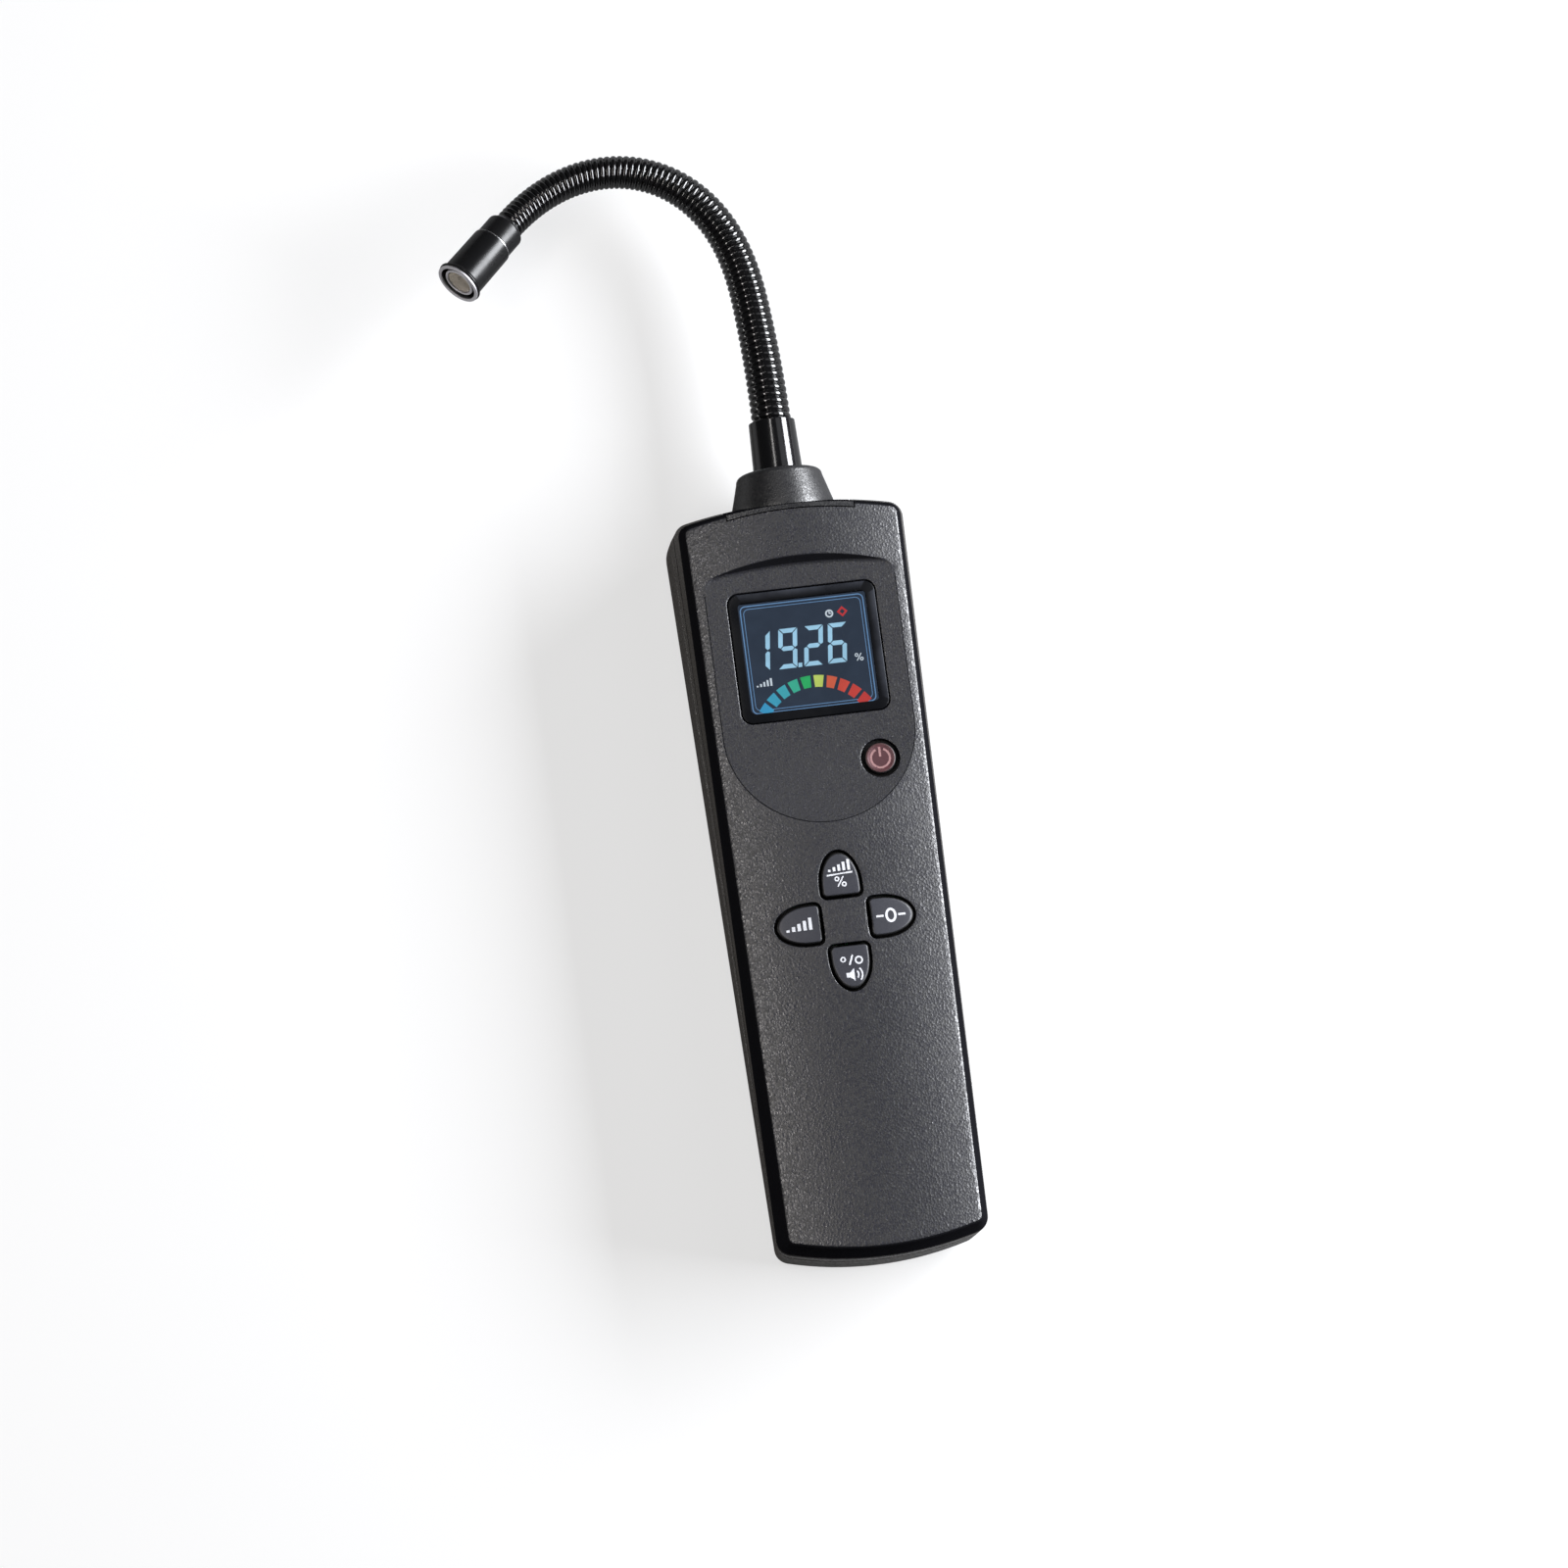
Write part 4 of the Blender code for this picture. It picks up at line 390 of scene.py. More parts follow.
def bare_metal(name, colour, roughness):
    """Plated or turned bare metal with a fine unevenness."""
    shader = Shader(name, colour, roughness, 1.0)
    scratches = shader.noise(1500.0, 3.0, 0.6)
    tarnish = shader.noise(120.0, 3.0, 0.6)
    shader.to("Roughness", shader.spread(scratches, 0.3, 0.7, roughness * 0.7, roughness * 1.4))
    shader.to("Base Color", shader.mix(shader.spread(tarnish, 0.35, 0.75), colour, scaled(colour, 0.82)))
    shader.bump(scratches, 0.006 * MM)
    return shader.material


def rubber(name, colour, roughness, depth=0.02 * MM, wear=0.5):
    """Soft-touch key material with a fine matte grain and shinier, paler edges."""
    shader = Shader(name, colour, roughness, Specular_IOR_Level=0.7)
    grains = shader.noise(3400.0, 2.0, 0.5)
    shade = shader.noise(150.0, 2.0, 0.5)
    worn = shader.edge(0.52, 0.60)
    base = shader.mix(shader.spread(shade, 0.3, 0.7), scaled(colour, 0.9), scaled(colour, 1.12))
    shader.to("Base Color", shader.mix(shader.times(worn, wear), base, scaled(colour, 2.2)))
    shader.to("Roughness", shader.spread(grains, 0.3, 0.7, roughness - 0.06, roughness + 0.08))
    shader.bump(grains, depth)
    return shader.material


def printed(name, colour):
    """Screen print: slightly uneven in tone, with a dry matte surface."""
    shader = Shader(name, colour, 0.45)
    ink = shader.noise(1800.0, 2.0, 0.6)
    shader.uneven(ink, scaled(colour, 0.82), colour)
    shader.to("Roughness", shader.spread(ink, 0.3, 0.7, 0.38, 0.52))
    shader.bump(ink, 0.004 * MM)
    return shader.material


def glowing(name, low, high):
    """A shader that gives light of its own, drifting between two colours, and that light."""
    shader = Shader(name, (0.0, 0.0, 0.0), 0.6, Specular_IOR_Level=0.0, Emission_Strength=1.0)
    light = shader.mix(shader.spread(shader.noise(240.0, 2.0, 0.5), 0.3, 0.7), low, high)
    return shader, light


def lit(name, colour):
    """A lit part of the display, with a faint unevenness of its light."""
    shader, light = glowing(name, scaled(colour, 0.86), colour)
    shader.to("Emission Color", light)
    return shader.material


def backlight(name, colour, glow):
    """Backlit field of the display, bluer near its lower left corner."""
    shader, field = glowing(name, scaled(colour, 0.9), scaled(colour, 1.05))
    corner = (-LENS_WIDTH / 2, DISPLAY_Y - LENS_HEIGHT / 2, 0.0)
    away = shader.add("ShaderNodeVectorMath", {0: shader.place}, {1: corner}, operation="DISTANCE")
    near = shader.spread(away.outputs["Value"], 3.0 * MM, 21.0 * MM, 1.0, 0.0)
    shader.to("Emission Color", shader.mix(near, field, glow))
    return shader.material


def clear_window(name):
    """Clear acrylic with a trace of wiping marks."""
    shader = Shader(name, (0.96, 0.97, 0.98), 0.03, Transmission_Weight=1.0, IOR=1.49)
    marks = shader.noise(180.0, 4.0, 0.65)
    shader.to("Roughness", shader.spread(marks, 0.4, 0.75, 0.015, 0.05))
    return shader.material


def plain(name, colour, roughness, scale=600.0, shine=0.5):
    """Finish of an inner piece: a little cloudy, with a fine surface."""
    shader = Shader(name, colour, roughness, Specular_IOR_Level=shine)
    cloud = shader.noise(scale, 3.0, 0.6)
    shader.uneven(cloud, scaled(colour, 0.8), scaled(colour, 1.15))
    shader.to("Roughness", shader.spread(cloud, 0.3, 0.7, roughness * 0.85, roughness * 1.2))
    shader.bump(cloud, 0.01 * MM)
    return shader.material


def banded(name, dark, bright, band_y):
    """Cell wrap: a plain coloured sleeve with a paler band beyond a place along it."""
    shader = Shader(name, dark, 0.35, Coat_Weight=0.4)
    parts = shader.add("ShaderNodeSeparateXYZ", {"Vector": shader.place})
    band = shader.spread(parts.outputs["Y"], band_y, band_y + 0.5 * MM)
    cloud = shader.noise(400.0, 2.0)
    shader.to("Base Color", shader.mix(band, dark, bright))
    shader.to("Roughness", shader.spread(cloud, 0.3, 0.7, 0.28, 0.42))
    shader.bump(cloud, 0.008 * MM)
    return shader.material


FINISHES = (
    (moulded, "front_plastic", linear(33, 33, 38), 0.35, 1700.0, 0.065 * MM, 0.9, 0.35, 1.0),
    # Painted shade: the front plastic made darker and without gloss, for its walls, the recess's top wall and
    # the rear cover's groove
    (moulded, "front_wall", linear(25, 25, 28), 0.5, 2600.0, 0.008 * MM, 0.15, 0.2, 0.0),
    (moulded, "rear_plastic", linear(69, 66, 63), 0.42, 2300.0, 0.02 * MM, 0.2, 0.3),
    (moulded, "door_plastic", linear(71, 69, 66), 0.44, 2300.0, 0.02 * MM, 0.2, 0.3),
    (moulded, "collar_plastic", linear(33, 33, 35), 0.38, 1900.0, 0.035 * MM, 0.5, 0.3, 0.9),
    (gloss_black, "black_metal", linear(12, 12, 14), 0.12),
    (gloss_black, "neck_metal", linear(11, 11, 12), 0.14),
    (gloss_black, "head_metal", linear(19, 19, 20), 0.25, 0.0, 0.39),
    (bare_metal, "mouth_metal", linear(236, 234, 238), 0.5),
    (rubber, "key_rubber", linear(48, 49, 57), 0.4),
    (rubber, "key_skirt", linear(16, 16, 18), 0.5, 0.01 * MM, 0.15),
    (rubber, "power_rubber", linear(73, 41, 43), 0.46),
    (rubber, "power_centre", linear(69, 27, 35), 0.5),
    (bare_metal, "bright_metal", linear(226, 226, 230), 0.24),
    (bare_metal, "steel", linear(188, 188, 190), 0.3),
    (bare_metal, "gauze_metal", linear(216, 208, 194), 0.38),
    (plain, "lens_mask", linear(18, 20, 27), 0.6, 600.0, 0.05),
    (gloss_black, "lens_border", linear(14, 15, 18), 0.3, 0.0, 0.17),
    (clear_window, "lens_clear"),
    (printed, "white_print", linear(236, 238, 244)),
    (printed, "red_print", linear(170, 130, 130)),
    (backlight, "screen_back", linear(50, 60, 75), linear(34, 108, 150)),
    (lit, "screen_line", linear(108, 148, 192)),
    (lit, "screen_digit", linear(166, 214, 242)),
    (lit, "screen_white", linear(214, 226, 236)),
    (lit, "screen_red", linear(198, 62, 66)),
    (plain, "board_mask", (0.02, 0.14, 0.05), 0.4, 900.0),
    (plain, "black_rubber", (0.02, 0.02, 0.02), 0.65),
    (plain, "pale_plastic", (0.70, 0.68, 0.60), 0.45),
    (plain, "cable_sheath", (0.02, 0.02, 0.02), 0.5),
    (banded, "cell_wrap", (0.05, 0.07, 0.11), (0.45, 0.47, 0.50), -58.0 * MM),
)
ARC_COLOURS = (
    (66, 158, 204), (70, 166, 196), (72, 172, 186), (66, 178, 150), (52, 176, 104),
    (196, 216, 108), (220, 104, 78), (212, 84, 72), (204, 74, 68), (196, 68, 66),
)
FINISH = {name: maker(name, *values) for maker, name, *values in FINISHES}
for number, screen_colour in enumerate(ARC_COLOURS):
    FINISH["arc_" + str(number)] = lit("arc_" + str(number), linear(*screen_colour))

# Finishes of the solids that the frame brings, by a part of the node's name
NODE_FINISH = {
    "main_board": "board_mask", "keypad_mat": "black_rubber", "buzzer": "black_rubber",
    "board_connector": "pale_plastic", "neck_nut": "steel", "sensor_cable": "cable_sheath",
    "sensor_socket": "black_rubber", "display_panel": "lens_mask",
    "screw": "steel", "cell": "cell_wrap", "contact": "bright_metal",
}
for node_name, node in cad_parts.items():
    for part, finish_name in NODE_FINISH.items():
        if part in node_name:
            for material_slot in node.material_slots:
                material_slot.material = FINISH[finish_name]


# Mesh building

def mesh_of(points, faces, kinds=None):
    mesh = bpy.data.meshes.new("work")
    mesh.from_pydata([tuple(p) for p in points], [], faces)
    if kinds:
        mesh.polygons.foreach_set("material_index", kinds)
    mesh.validate()
    return mesh


def tidy(mesh):
    """Weld points that lie together, and turn all faces outwards."""
    bm = bmesh.new()
    bm.from_mesh(mesh)
    bmesh.ops.remove_doubles(bm, verts=bm.verts, dist=WELD)
    bmesh.ops.dissolve_degenerate(bm, edges=bm.edges, dist=WELD)
    bmesh.ops.recalc_face_normals(bm, faces=bm.faces)
    bm.to_mesh(mesh)
    bm.free()
    return mesh


def piece(name, mesh, finish, body="housing", replaces=(), smooth=32.0, rule=None):
    """Make a mesh a piece of the object, in place, riding on its body; a rule picks each face's material."""
    tidy(mesh)
    kinds = [rule(polygon.center, polygon.normal) if rule else polygon.material_index
             for polygon in mesh.polygons]
    mesh.materials.clear()
    for material_name in finish.split():
        mesh.materials.append(FINISH[material_name])
    mesh.polygons.foreach_set("material_index", kinds)
    mesh.shade_smooth()
    mesh.set_sharp_from_angle(angle=math.radians(smooth))
    mesh.name = name
    obj = bpy.data.objects.new(name, mesh)
    bpy.context.scene.collection.objects.link(obj)
    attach(obj, body)
    if replaces:
        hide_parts(*replaces)


def loft(rings, closed=False):
    """Skin through rings of equally many points: capped at both ends, or closed on itself."""
    count = len(rings[0])
    points = [p for ring in rings for p in ring]
    faces = []
    last = len(rings) if closed else len(rings) - 1
    for r in range(last):
        a = r * count
        b = ((r + 1) % len(rings)) * count
        faces += [(a + i, a + (i + 1) % count, b + (i + 1) % count, b + i) for i in range(count)]
    if not closed:
        faces.append(tuple(reversed(range(count))))
        faces.append(tuple((len(rings) - 1) * count + i for i in range(count)))
    return tidy(mesh_of(points, faces))


def circle(radius, steps, z=0.0):
    return [(radius * math.cos(math.tau * i / steps), radius * math.sin(math.tau * i / steps), z)
            for i in range(steps)]


def softened(profile, amount):
    """Round the corners of a closed (radius, height) profile with short arcs."""
    out = []
    for i, corner in enumerate(profile):
        here = Vector(corner)
        back = Vector(profile[i - 1]) - here
        ahead = Vector(profile[(i + 1) % len(profile)]) - here
        reach = min(amount, back.length * 0.38, ahead.length * 0.38)
        start = here + back.normalized() * reach
        end = here + ahead.normalized() * reach
        out.append(tuple(here + back.normalized() * reach * 1.25))
        for share in (0.0, 0.25, 0.5, 0.75, 1.0):
            out.append(tuple(start.lerp(here, share).lerp(here.lerp(end, share), share)))
        out.append(tuple(here + ahead.normalized() * reach * 1.25))
    return out


def lathe(profile, steps, closed=False):
    """Turn a profile of (radius, height) round Z."""
    return loft([circle(radius, steps, height) for radius, height in profile], closed)


def turned(profile, steps, soft):
    """Turn a closed profile round Z, its corners softened."""
    return lathe(softened(profile, soft), steps, closed=True)


def placed(mesh, matrix):
    mesh.transform(matrix)
    return mesh


def solid(mesh):
    obj = bpy.data.objects.new("work", mesh)
    bpy.context.scene.collection.objects.link(obj)
    return obj


def cut(obj, mesh, operation="DIFFERENCE"):
    """One exact Boolean, applied at once."""
    tool = solid(mesh)
    modifier = obj.modifiers.new("cut", "BOOLEAN")
    modifier.operation = operation
    modifier.solver = "EXACT"
    modifier.object = tool
    bpy.context.view_layer.update()
    depsgraph = bpy.context.evaluated_depsgraph_get()
    result = bpy.data.meshes.new_from_object(obj.evaluated_get(depsgraph))
    obj.modifiers.remove(modifier)
    obj.data = tidy(result)
    bpy.data.objects.remove(tool)
    return obj


def taken(obj):
    mesh = obj.data
    bpy.data.objects.remove(obj)
    return mesh


def prism(outline, low, high):
    return loft([[(x, y, low) for x, y in outline], [(x, y, high) for x, y in outline]])


def box(x0, x1, y0, y1, z0, z1):
    return prism([(x0, y0), (x1, y0), (x1, y1), (x0, y1)], z0, z1)


def rounded_rectangle(width, height, radius, centre=(0.0, 0.0), steps=10, side_steps=1):
    points = []
    for quarter, (sx, sy) in enumerate(((1, 1), (-1, 1), (-1, -1), (1, -1))):
        cx = centre[0] + sx * (width / 2 - radius)
        cy = centre[1] + sy * (height / 2 - radius)
        for i in range(steps + 1):
            angle = (quarter + i / steps) * math.pi / 2
            points.append((cx + radius * math.cos(angle), cy + radius * math.sin(angle)))
    if side_steps > 1:
        points = subdivided(points, max(width, height) / side_steps)
    return points


def between(a, b, share):
    return a[0] + (b[0] - a[0]) * share, a[1] + (b[1] - a[1]) * share


def subdivided(points, longest):
    """A closed outline with its long straight edges split."""
    out = []
    for a, b in zip(points, points[1:] + points[:1]):
        parts = max(1, round(math.dist(a, b) / longest))
        out += [(a[0] + (b[0] - a[0]) * i / parts, a[1] + (b[1] - a[1]) * i / parts) for i in range(parts)]
    return out


# Housing outlines

def end_corner(right_bottom, right_top, bow, radius, end, corner_steps, bow_steps):
    """Right half of a bowed end with its rounded corner; end is 1 for the upper end, -1 for the lower."""
    corner = right_top if end > 0 else right_bottom
    along = (right_top - right_bottom).normalized()
    inward = Vector((-along.y, along.x))
    bow_radius = (corner.x**2 + bow**2) / (2 * bow)
    bow_centre = Vector((0.0, corner.y + end * (bow - bow_radius)))
    start = right_bottom + inward * radius
    offset = start - bow_centre
    half_b = offset.dot(along)
    root = math.sqrt(half_b**2 - offset.length_squared + (bow_radius - radius) ** 2)
    centre = start + along * (-half_b + end * root)
    side_angle = math.atan2(-inward.y, -inward.x)
    out = centre - bow_centre
    end_angle = math.atan2(out.y, out.x)
    middle = end * math.pi / 2
    points = []
    for i in range(corner_steps + 1):
        angle = side_angle + (end_angle - side_angle) * i / corner_steps
        points.append(centre + Vector((math.cos(angle), math.sin(angle))) * radius)
    for i in range(1, bow_steps):
        angle = end_angle + (middle - end_angle) * i / bow_steps
        points.append(bow_centre + Vector((math.cos(angle), math.sin(angle))) * bow_radius)
    return points if end > 0 else list(reversed(points))


def plan(side_top, side_bottom, end_top, end_bottom, corner_top, corner_bottom,
         corner_steps=7, bow_steps=14, side_steps=1):
    """Housing outline in plan, grown outwards from the face edge, from the lower end's right on."""
    right_top = Vector((FACE_WIDTH_TOP / 2 + side_top, HALF_LENGTH + end_top))
    right_bottom = Vector((FACE_WIDTH_BOTTOM / 2 + side_bottom, -HALF_LENGTH - end_bottom))
    ends = right_bottom, right_top
    low = end_corner(*ends, FACE_BOTTOM_BOW, corner_bottom, -1, corner_steps, bow_steps)
    high = end_corner(*ends, FACE_TOP_BOW, corner_top, 1, corner_steps, bow_steps)
    side = [low[-1].lerp(high[0], i / side_steps) for i in range(1, side_steps)]
    quarter = low + side + high
    return [tuple(p) for p in quarter] + [(-p.x, p.y) for p in reversed(quarter)]


def front_outline(share, inset, **steps):
    """Front cover's outline at a share of its draft: 0 at the face edge, 1 at the parting line."""
    grow = PARTING_FLARE * share - inset
    corner = max(FACE_CORNER + grow, LEAST_CORNER)
    end_bottom = PARTING_FLARE_BOTTOM * share - inset
    return plan(grow, grow, grow, end_bottom, corner, corner, **steps)


def rear_ring(z, share, inset=0.0):
    """Rear cover ring: share runs from 0 at the parting line to 1 where the cover is widest."""
    rim_corner = FACE_CORNER + PARTING_FLARE
    corner_top = rim_corner + share * (REAR_CORNER_TOP - rim_corner) - inset
    corner_bottom = rim_corner + share * (REAR_CORNER_BOTTOM - rim_corner) - inset
    outline = plan(
        PARTING_FLARE + share * REAR_SIDE_TOP - inset,
        PARTING_FLARE + share * REAR_SIDE_BOTTOM - inset,
        PARTING_FLARE + share * REAR_END_TOP - inset,
        PARTING_FLARE_BOTTOM + share * REAR_END_BOTTOM - inset,
        max(corner_top, LEAST_CORNER), max(corner_bottom, LEAST_CORNER))
    return [(x, y, z) for x, y in outline]


def rear_share(z):
    return min(1.0, (REAR_RIM_Z - z) / (REAR_RIM_Z - REAR_WIDEST_Z))


def crown_z(x, above=0.0):
    """Height of the crowned face at a place across it, or of a surface parallel to it."""
    return CROWN_TOP_Z - CROWN_RADIUS + math.sqrt((CROWN_RADIUS + above) ** 2 - x**2)


RECESS_FLOOR_Z = crown_z(RECESS_HALF_WIDTH)
RAMP_RISE = (crown_z(0.0) - crown_z(RECESS_HALF_WIDTH)) / RECESS_HALF_WIDTH**2


def smooth_low(a, b, blend):
    """The lower of two heights, rounded off where they meet."""
    near = max(blend - abs(a - b), 0.0) / blend
    return min(a, b) - near * near * blend / 4


def wall_line(x):
    """Where the recess's curved top wall meets the crowned face, and its foot on the floor."""
    across = min(abs(x), RECESS_HALF_WIDTH)
    y = RECESS_TOP_Y - RECESS_TOP_SAG * (across / RECESS_HALF_WIDTH) ** 2
    into_corner = across - (RECESS_HALF_WIDTH - RECESS_TOP_CORNER)
    if into_corner > 0:
        y -= RECESS_TOP_CORNER - math.sqrt(max(RECESS_TOP_CORNER**2 - into_corner**2, 0.0))
    return y, y - (crown_z(across) - RECESS_FLOOR_Z) * RECESS_WALL_SLOPE


def surface_z(x, y):
    """Height of the outer face at a place, recess and its softened edges included."""
    crown = crown_z(x)
    if abs(x) > RECESS_HALF_WIDTH + 2 * MM or y < RECESS_ROUND_Y - RECESS_HALF_WIDTH - 2 * MM:
        return crown
    floor = RECESS_FLOOR_Z + RAMP_RISE * max(RECESS_ROUND_Y - y, 0.0) ** 2
    if abs(x) > RECESS_HALF_WIDTH:
        floor += (abs(x) - RECESS_HALF_WIDTH) * 0.5
    lip_y, foot_y = wall_line(x)
    wall = RECESS_FLOOR_Z + (y - foot_y) / RECESS_WALL_SLOPE
    recess = -smooth_low(-floor, -wall, FOOT_BLEND)
    return smooth_low(crown, recess, LIP_BLEND) - crease_depth(x, y)


def crease_depth(x, y):
    """Depth of the fine V line round the recess's sides and lower round; it ends at the top corners."""
    if y < RECESS_ROUND_Y:
        away = abs(math.hypot(x, y - RECESS_ROUND_Y) - RECESS_HALF_WIDTH)
    else:
        away = abs(abs(x) - RECESS_HALF_WIDTH)
    run_out = held((RECESS_SIDE_END - y) / CREASE_RUN_OUT)
    return CREASE_DEPTH * run_out * max(1 - away / CREASE_HALF_WIDTH, 0.0)


# Keys

KEYS = {"key_top": 0.0, "key_left": 90.0, "key_bottom": 180.0, "key_right": 270.0}


def key_centre(turn_degrees):
    turn = math.radians(turn_degrees)
    return Vector((-KEY_SPREAD * math.sin(turn), KEY_CROSS_Y + KEY_SPREAD * math.cos(turn)))


def key_outline(turn_degrees, grow=0.0):
    """Key outline in plan: flat inner side, elliptical arch out of the cross."""
    half_w = KEY_HOLE_WIDTH / 2 + grow
    half_l = KEY_HOLE_LENGTH / 2 + grow
    corner = KEY_HOLE_CORNER + grow
    arch_y = KEY_HOLE_LENGTH / 2 - KEY_HOLE_ARCH
    arch = KEY_HOLE_ARCH + grow - KEY_ARCH_SLOPE * max(-KEY_PLAY - grow, 0.0) / KEY_ROUND
    points = [(half_w * math.cos(math.pi * i / KEY_ARCH_STEPS),
               arch_y + arch * math.sin(math.pi * i / KEY_ARCH_STEPS)) for i in range(KEY_ARCH_STEPS + 1)]
    for quarter, sx in ((2, -1), (3, 1)):
        for i in range(9):
            angle = (quarter + i / 8) * math.pi / 2
            points.append((sx * (half_w - corner) + corner * math.cos(angle),
                           -half_l + corner + corner * math.sin(angle)))
    at = KEY_ARCH_STEPS + 9
    flat_y = points[at][1]
    points[at:at] = [(-(half_w - corner) + 2 * (half_w - corner) * i / 6, flat_y) for i in range(1, 6)]
    turn = math.radians(turn_degrees)
    centre = key_centre(turn_degrees)
    return [(centre.x + x * math.cos(turn) - y * math.sin(turn),
             centre.y + x * math.sin(turn) + y * math.cos(turn)) for x, y in points]


def power_outline(radius, steps=48):
    return [(POWER_X + x, POWER_Y + y) for x, y, _ in circle(radius, steps)]


def lens_outline(grow):
    """The window's opening in the front cover, grown outwards."""
    return rounded_rectangle(LENS_WIDTH + 2 * grow, LENS_HEIGHT + 2 * grow, LENS_CORNER + grow,
                             (0.0, DISPLAY_Y), 10, 30)


# Triangulated sheets over an outline with holes

def inside(x, y, loop):
    """Whether a place lies inside a closed outline."""
    hit = False
    for (x0, y0), (x1, y1) in zip(loop, loop[1:] + loop[:1]):
        if (y0 > y) != (y1 > y) and x < (x1 - x0) * (y - y0) / (y1 - y0) + x0:
            hit = not hit
    return hit


class Spacing:
    """Points kept at least a distance apart."""

    def __init__(self, cell):
        self.cell = cell
        self.grid = {}

    def near(self, x, y, distance):
        cx, cy = int(x // self.cell), int(y // self.cell)
        reach = int(distance // self.cell) + 1
        for i in range(cx - reach, cx + reach + 1):
            for j in range(cy - reach, cy + reach + 1):
                for px, py in self.grid.get((i, j), ()):
                    if math.hypot(px - x, py - y) < distance:
                        return True
        return False

    def keep(self, x, y):
        self.grid.setdefault((int(x // self.cell), int(y // self.cell)), []).append((x, y))


def sheet(outer, holes, features, pitch, margin):
    """Triangles that fill an outline round its holes: points, triangles, index lists of the loops.

    Features are wanted points, pitch spaces the rows of the rest, which keep the margin from all others.
    """
    def open_at(x, y):
        return inside(x, y, outer) and not any(inside(x, y, hole) for hole in holes)

    loops = [outer] + holes
    spacing = Spacing(0.5 * MM)
    points = []
    edges = []
    for loop in loops:
        first = len(points)
        points += loop
        edges += [(first + i, first + (i + 1) % len(loop)) for i in range(len(loop))]
        for x, y in loop:
            spacing.keep(x, y)
    for x, y in features:
        if not spacing.near(x, y, LEAST_SPACING) and open_at(x, y):
            spacing.keep(x, y)
            points.append((x, y))
    xs = [p[0] for p in outer]
    ys = [p[1] for p in outer]
    row = 0
    y = min(ys) + pitch / 2
    while y < max(ys):
        x = min(xs) + pitch * (0.25 + 0.5 * (row % 2))
        while x < max(xs):
            if not spacing.near(x, y, margin) and open_at(x, y):
                points.append((x, y))
            x += pitch
        y += pitch * 0.87
        row += 1
    made, _, faces, origin, _, _ = delaunay_2d_cdt([Vector(p) for p in points], edges, [], 1, 1e-9)
    place = {old: new for new, olds in enumerate(origin) for old in olds}
    kept = []
    for face in faces:
        cx = sum(made[i].x for i in face) / len(face)
        cy = sum(made[i].y for i in face) / len(face)
        if open_at(cx, cy):
            kept.append(tuple(face))
    ids = []
    first = 0
    for loop in loops:
        ids.append([place[first + i] for i in range(len(loop))])
        first += len(loop)
    return [tuple(p) for p in made], kept, ids


class Skin:
    """Points and faces of one closed mesh, from sheets and rings; kinds number their materials."""

    def __init__(self):
        self.points = []
        self.faces = []
        self.kinds = []

    def ring(self, points):
        first = len(self.points)
        self.points += points
        return list(range(first, first + len(points)))

    def add(self, faces, kind=0):
        self.faces += faces
        self.kinds += [kind] * len(faces)

    def bridge(self, a, b, kind=0):
        count = len(a)
        self.add([(a[i], a[(i + 1) % count], b[(i + 1) % count], b[i]) for i in range(count)], kind)

    def layer(self, flat, faces, height_at, up=True):
        """A sheet of triangles at a height, facing up or down."""
        ids = self.ring([(x, y, height_at(x, y)) for x, y in flat])
        self.add([tuple(ids[i] for i in (face if up else reversed(face))) for face in faces])
        return ids

    def carry(self, before, rings, kind=0):
        """Walls from a loop on through rings of points, up to the last ring."""
        for points in rings:
            ring = self.ring(points)
            self.bridge(before, ring, kind)
            before = ring
        return before

    def mesh(self):
        return tidy(mesh_of(self.points, self.faces, self.kinds))


def quarter_round(steps=4):
    """(share inwards, share down) along a quarter circle from the top of an edge to its side."""
    return [(1 - math.sin(math.pi / 2 * i / steps), 1 - math.cos(math.pi / 2 * i / steps))
            for i in range(steps + 1)]


# Front cover

def front_edge(inset, drop, steps):
    """A ring at the face edge, following the crown, moved in and down."""
    above = 0.4
    ring = []
    for low, high in zip(front_outline(0.0, inset, **steps), front_outline(-above, inset, **steps)):
        z = crown_z(low[0])
        share = (z - FACE_EDGE_Z) / (FACE_EDGE_Z - PARTING_Z) / above
        ring.append((*between(low, high, share), z - drop))
    return ring


def rim_z(y):
    """Lower edge of the front cover's wall painted black as painted shade, which falls towards the lower end.
    """
    return RIM_LOW_Z + held(y / HALF_LENGTH / 2 + 0.5) * RIM_RISE


def wall_rule(middle, normal):
    """Textured face; under its edge a wall painted black as painted shade; grey rim along the parting line.
    """
    if middle.z > surface_z(middle.x, middle.y) - FACE_EDGE_ROUND * EDGE_TEXTURED:
        return 0
    if PARTING_Z + PARTING_BREAK < middle.z < rim_z(middle.y):
        return 2
    return 1


def face_rule(middle, normal):
    """The front cover's walls, and the recess's smooth top wall, which is painted black as painted shade."""
    lip_y, foot_y = wall_line(middle.x)
    on_wall = foot_y + 0.3 * MM < middle.y < lip_y - 0.1 * MM
    # The recess's top wall is painted black as painted shade
    if on_wall and abs(middle.x) < RECESS_HALF_WIDTH - 1 * MM and normal.z > 0:
        return 1
    return wall_rule(middle, normal)


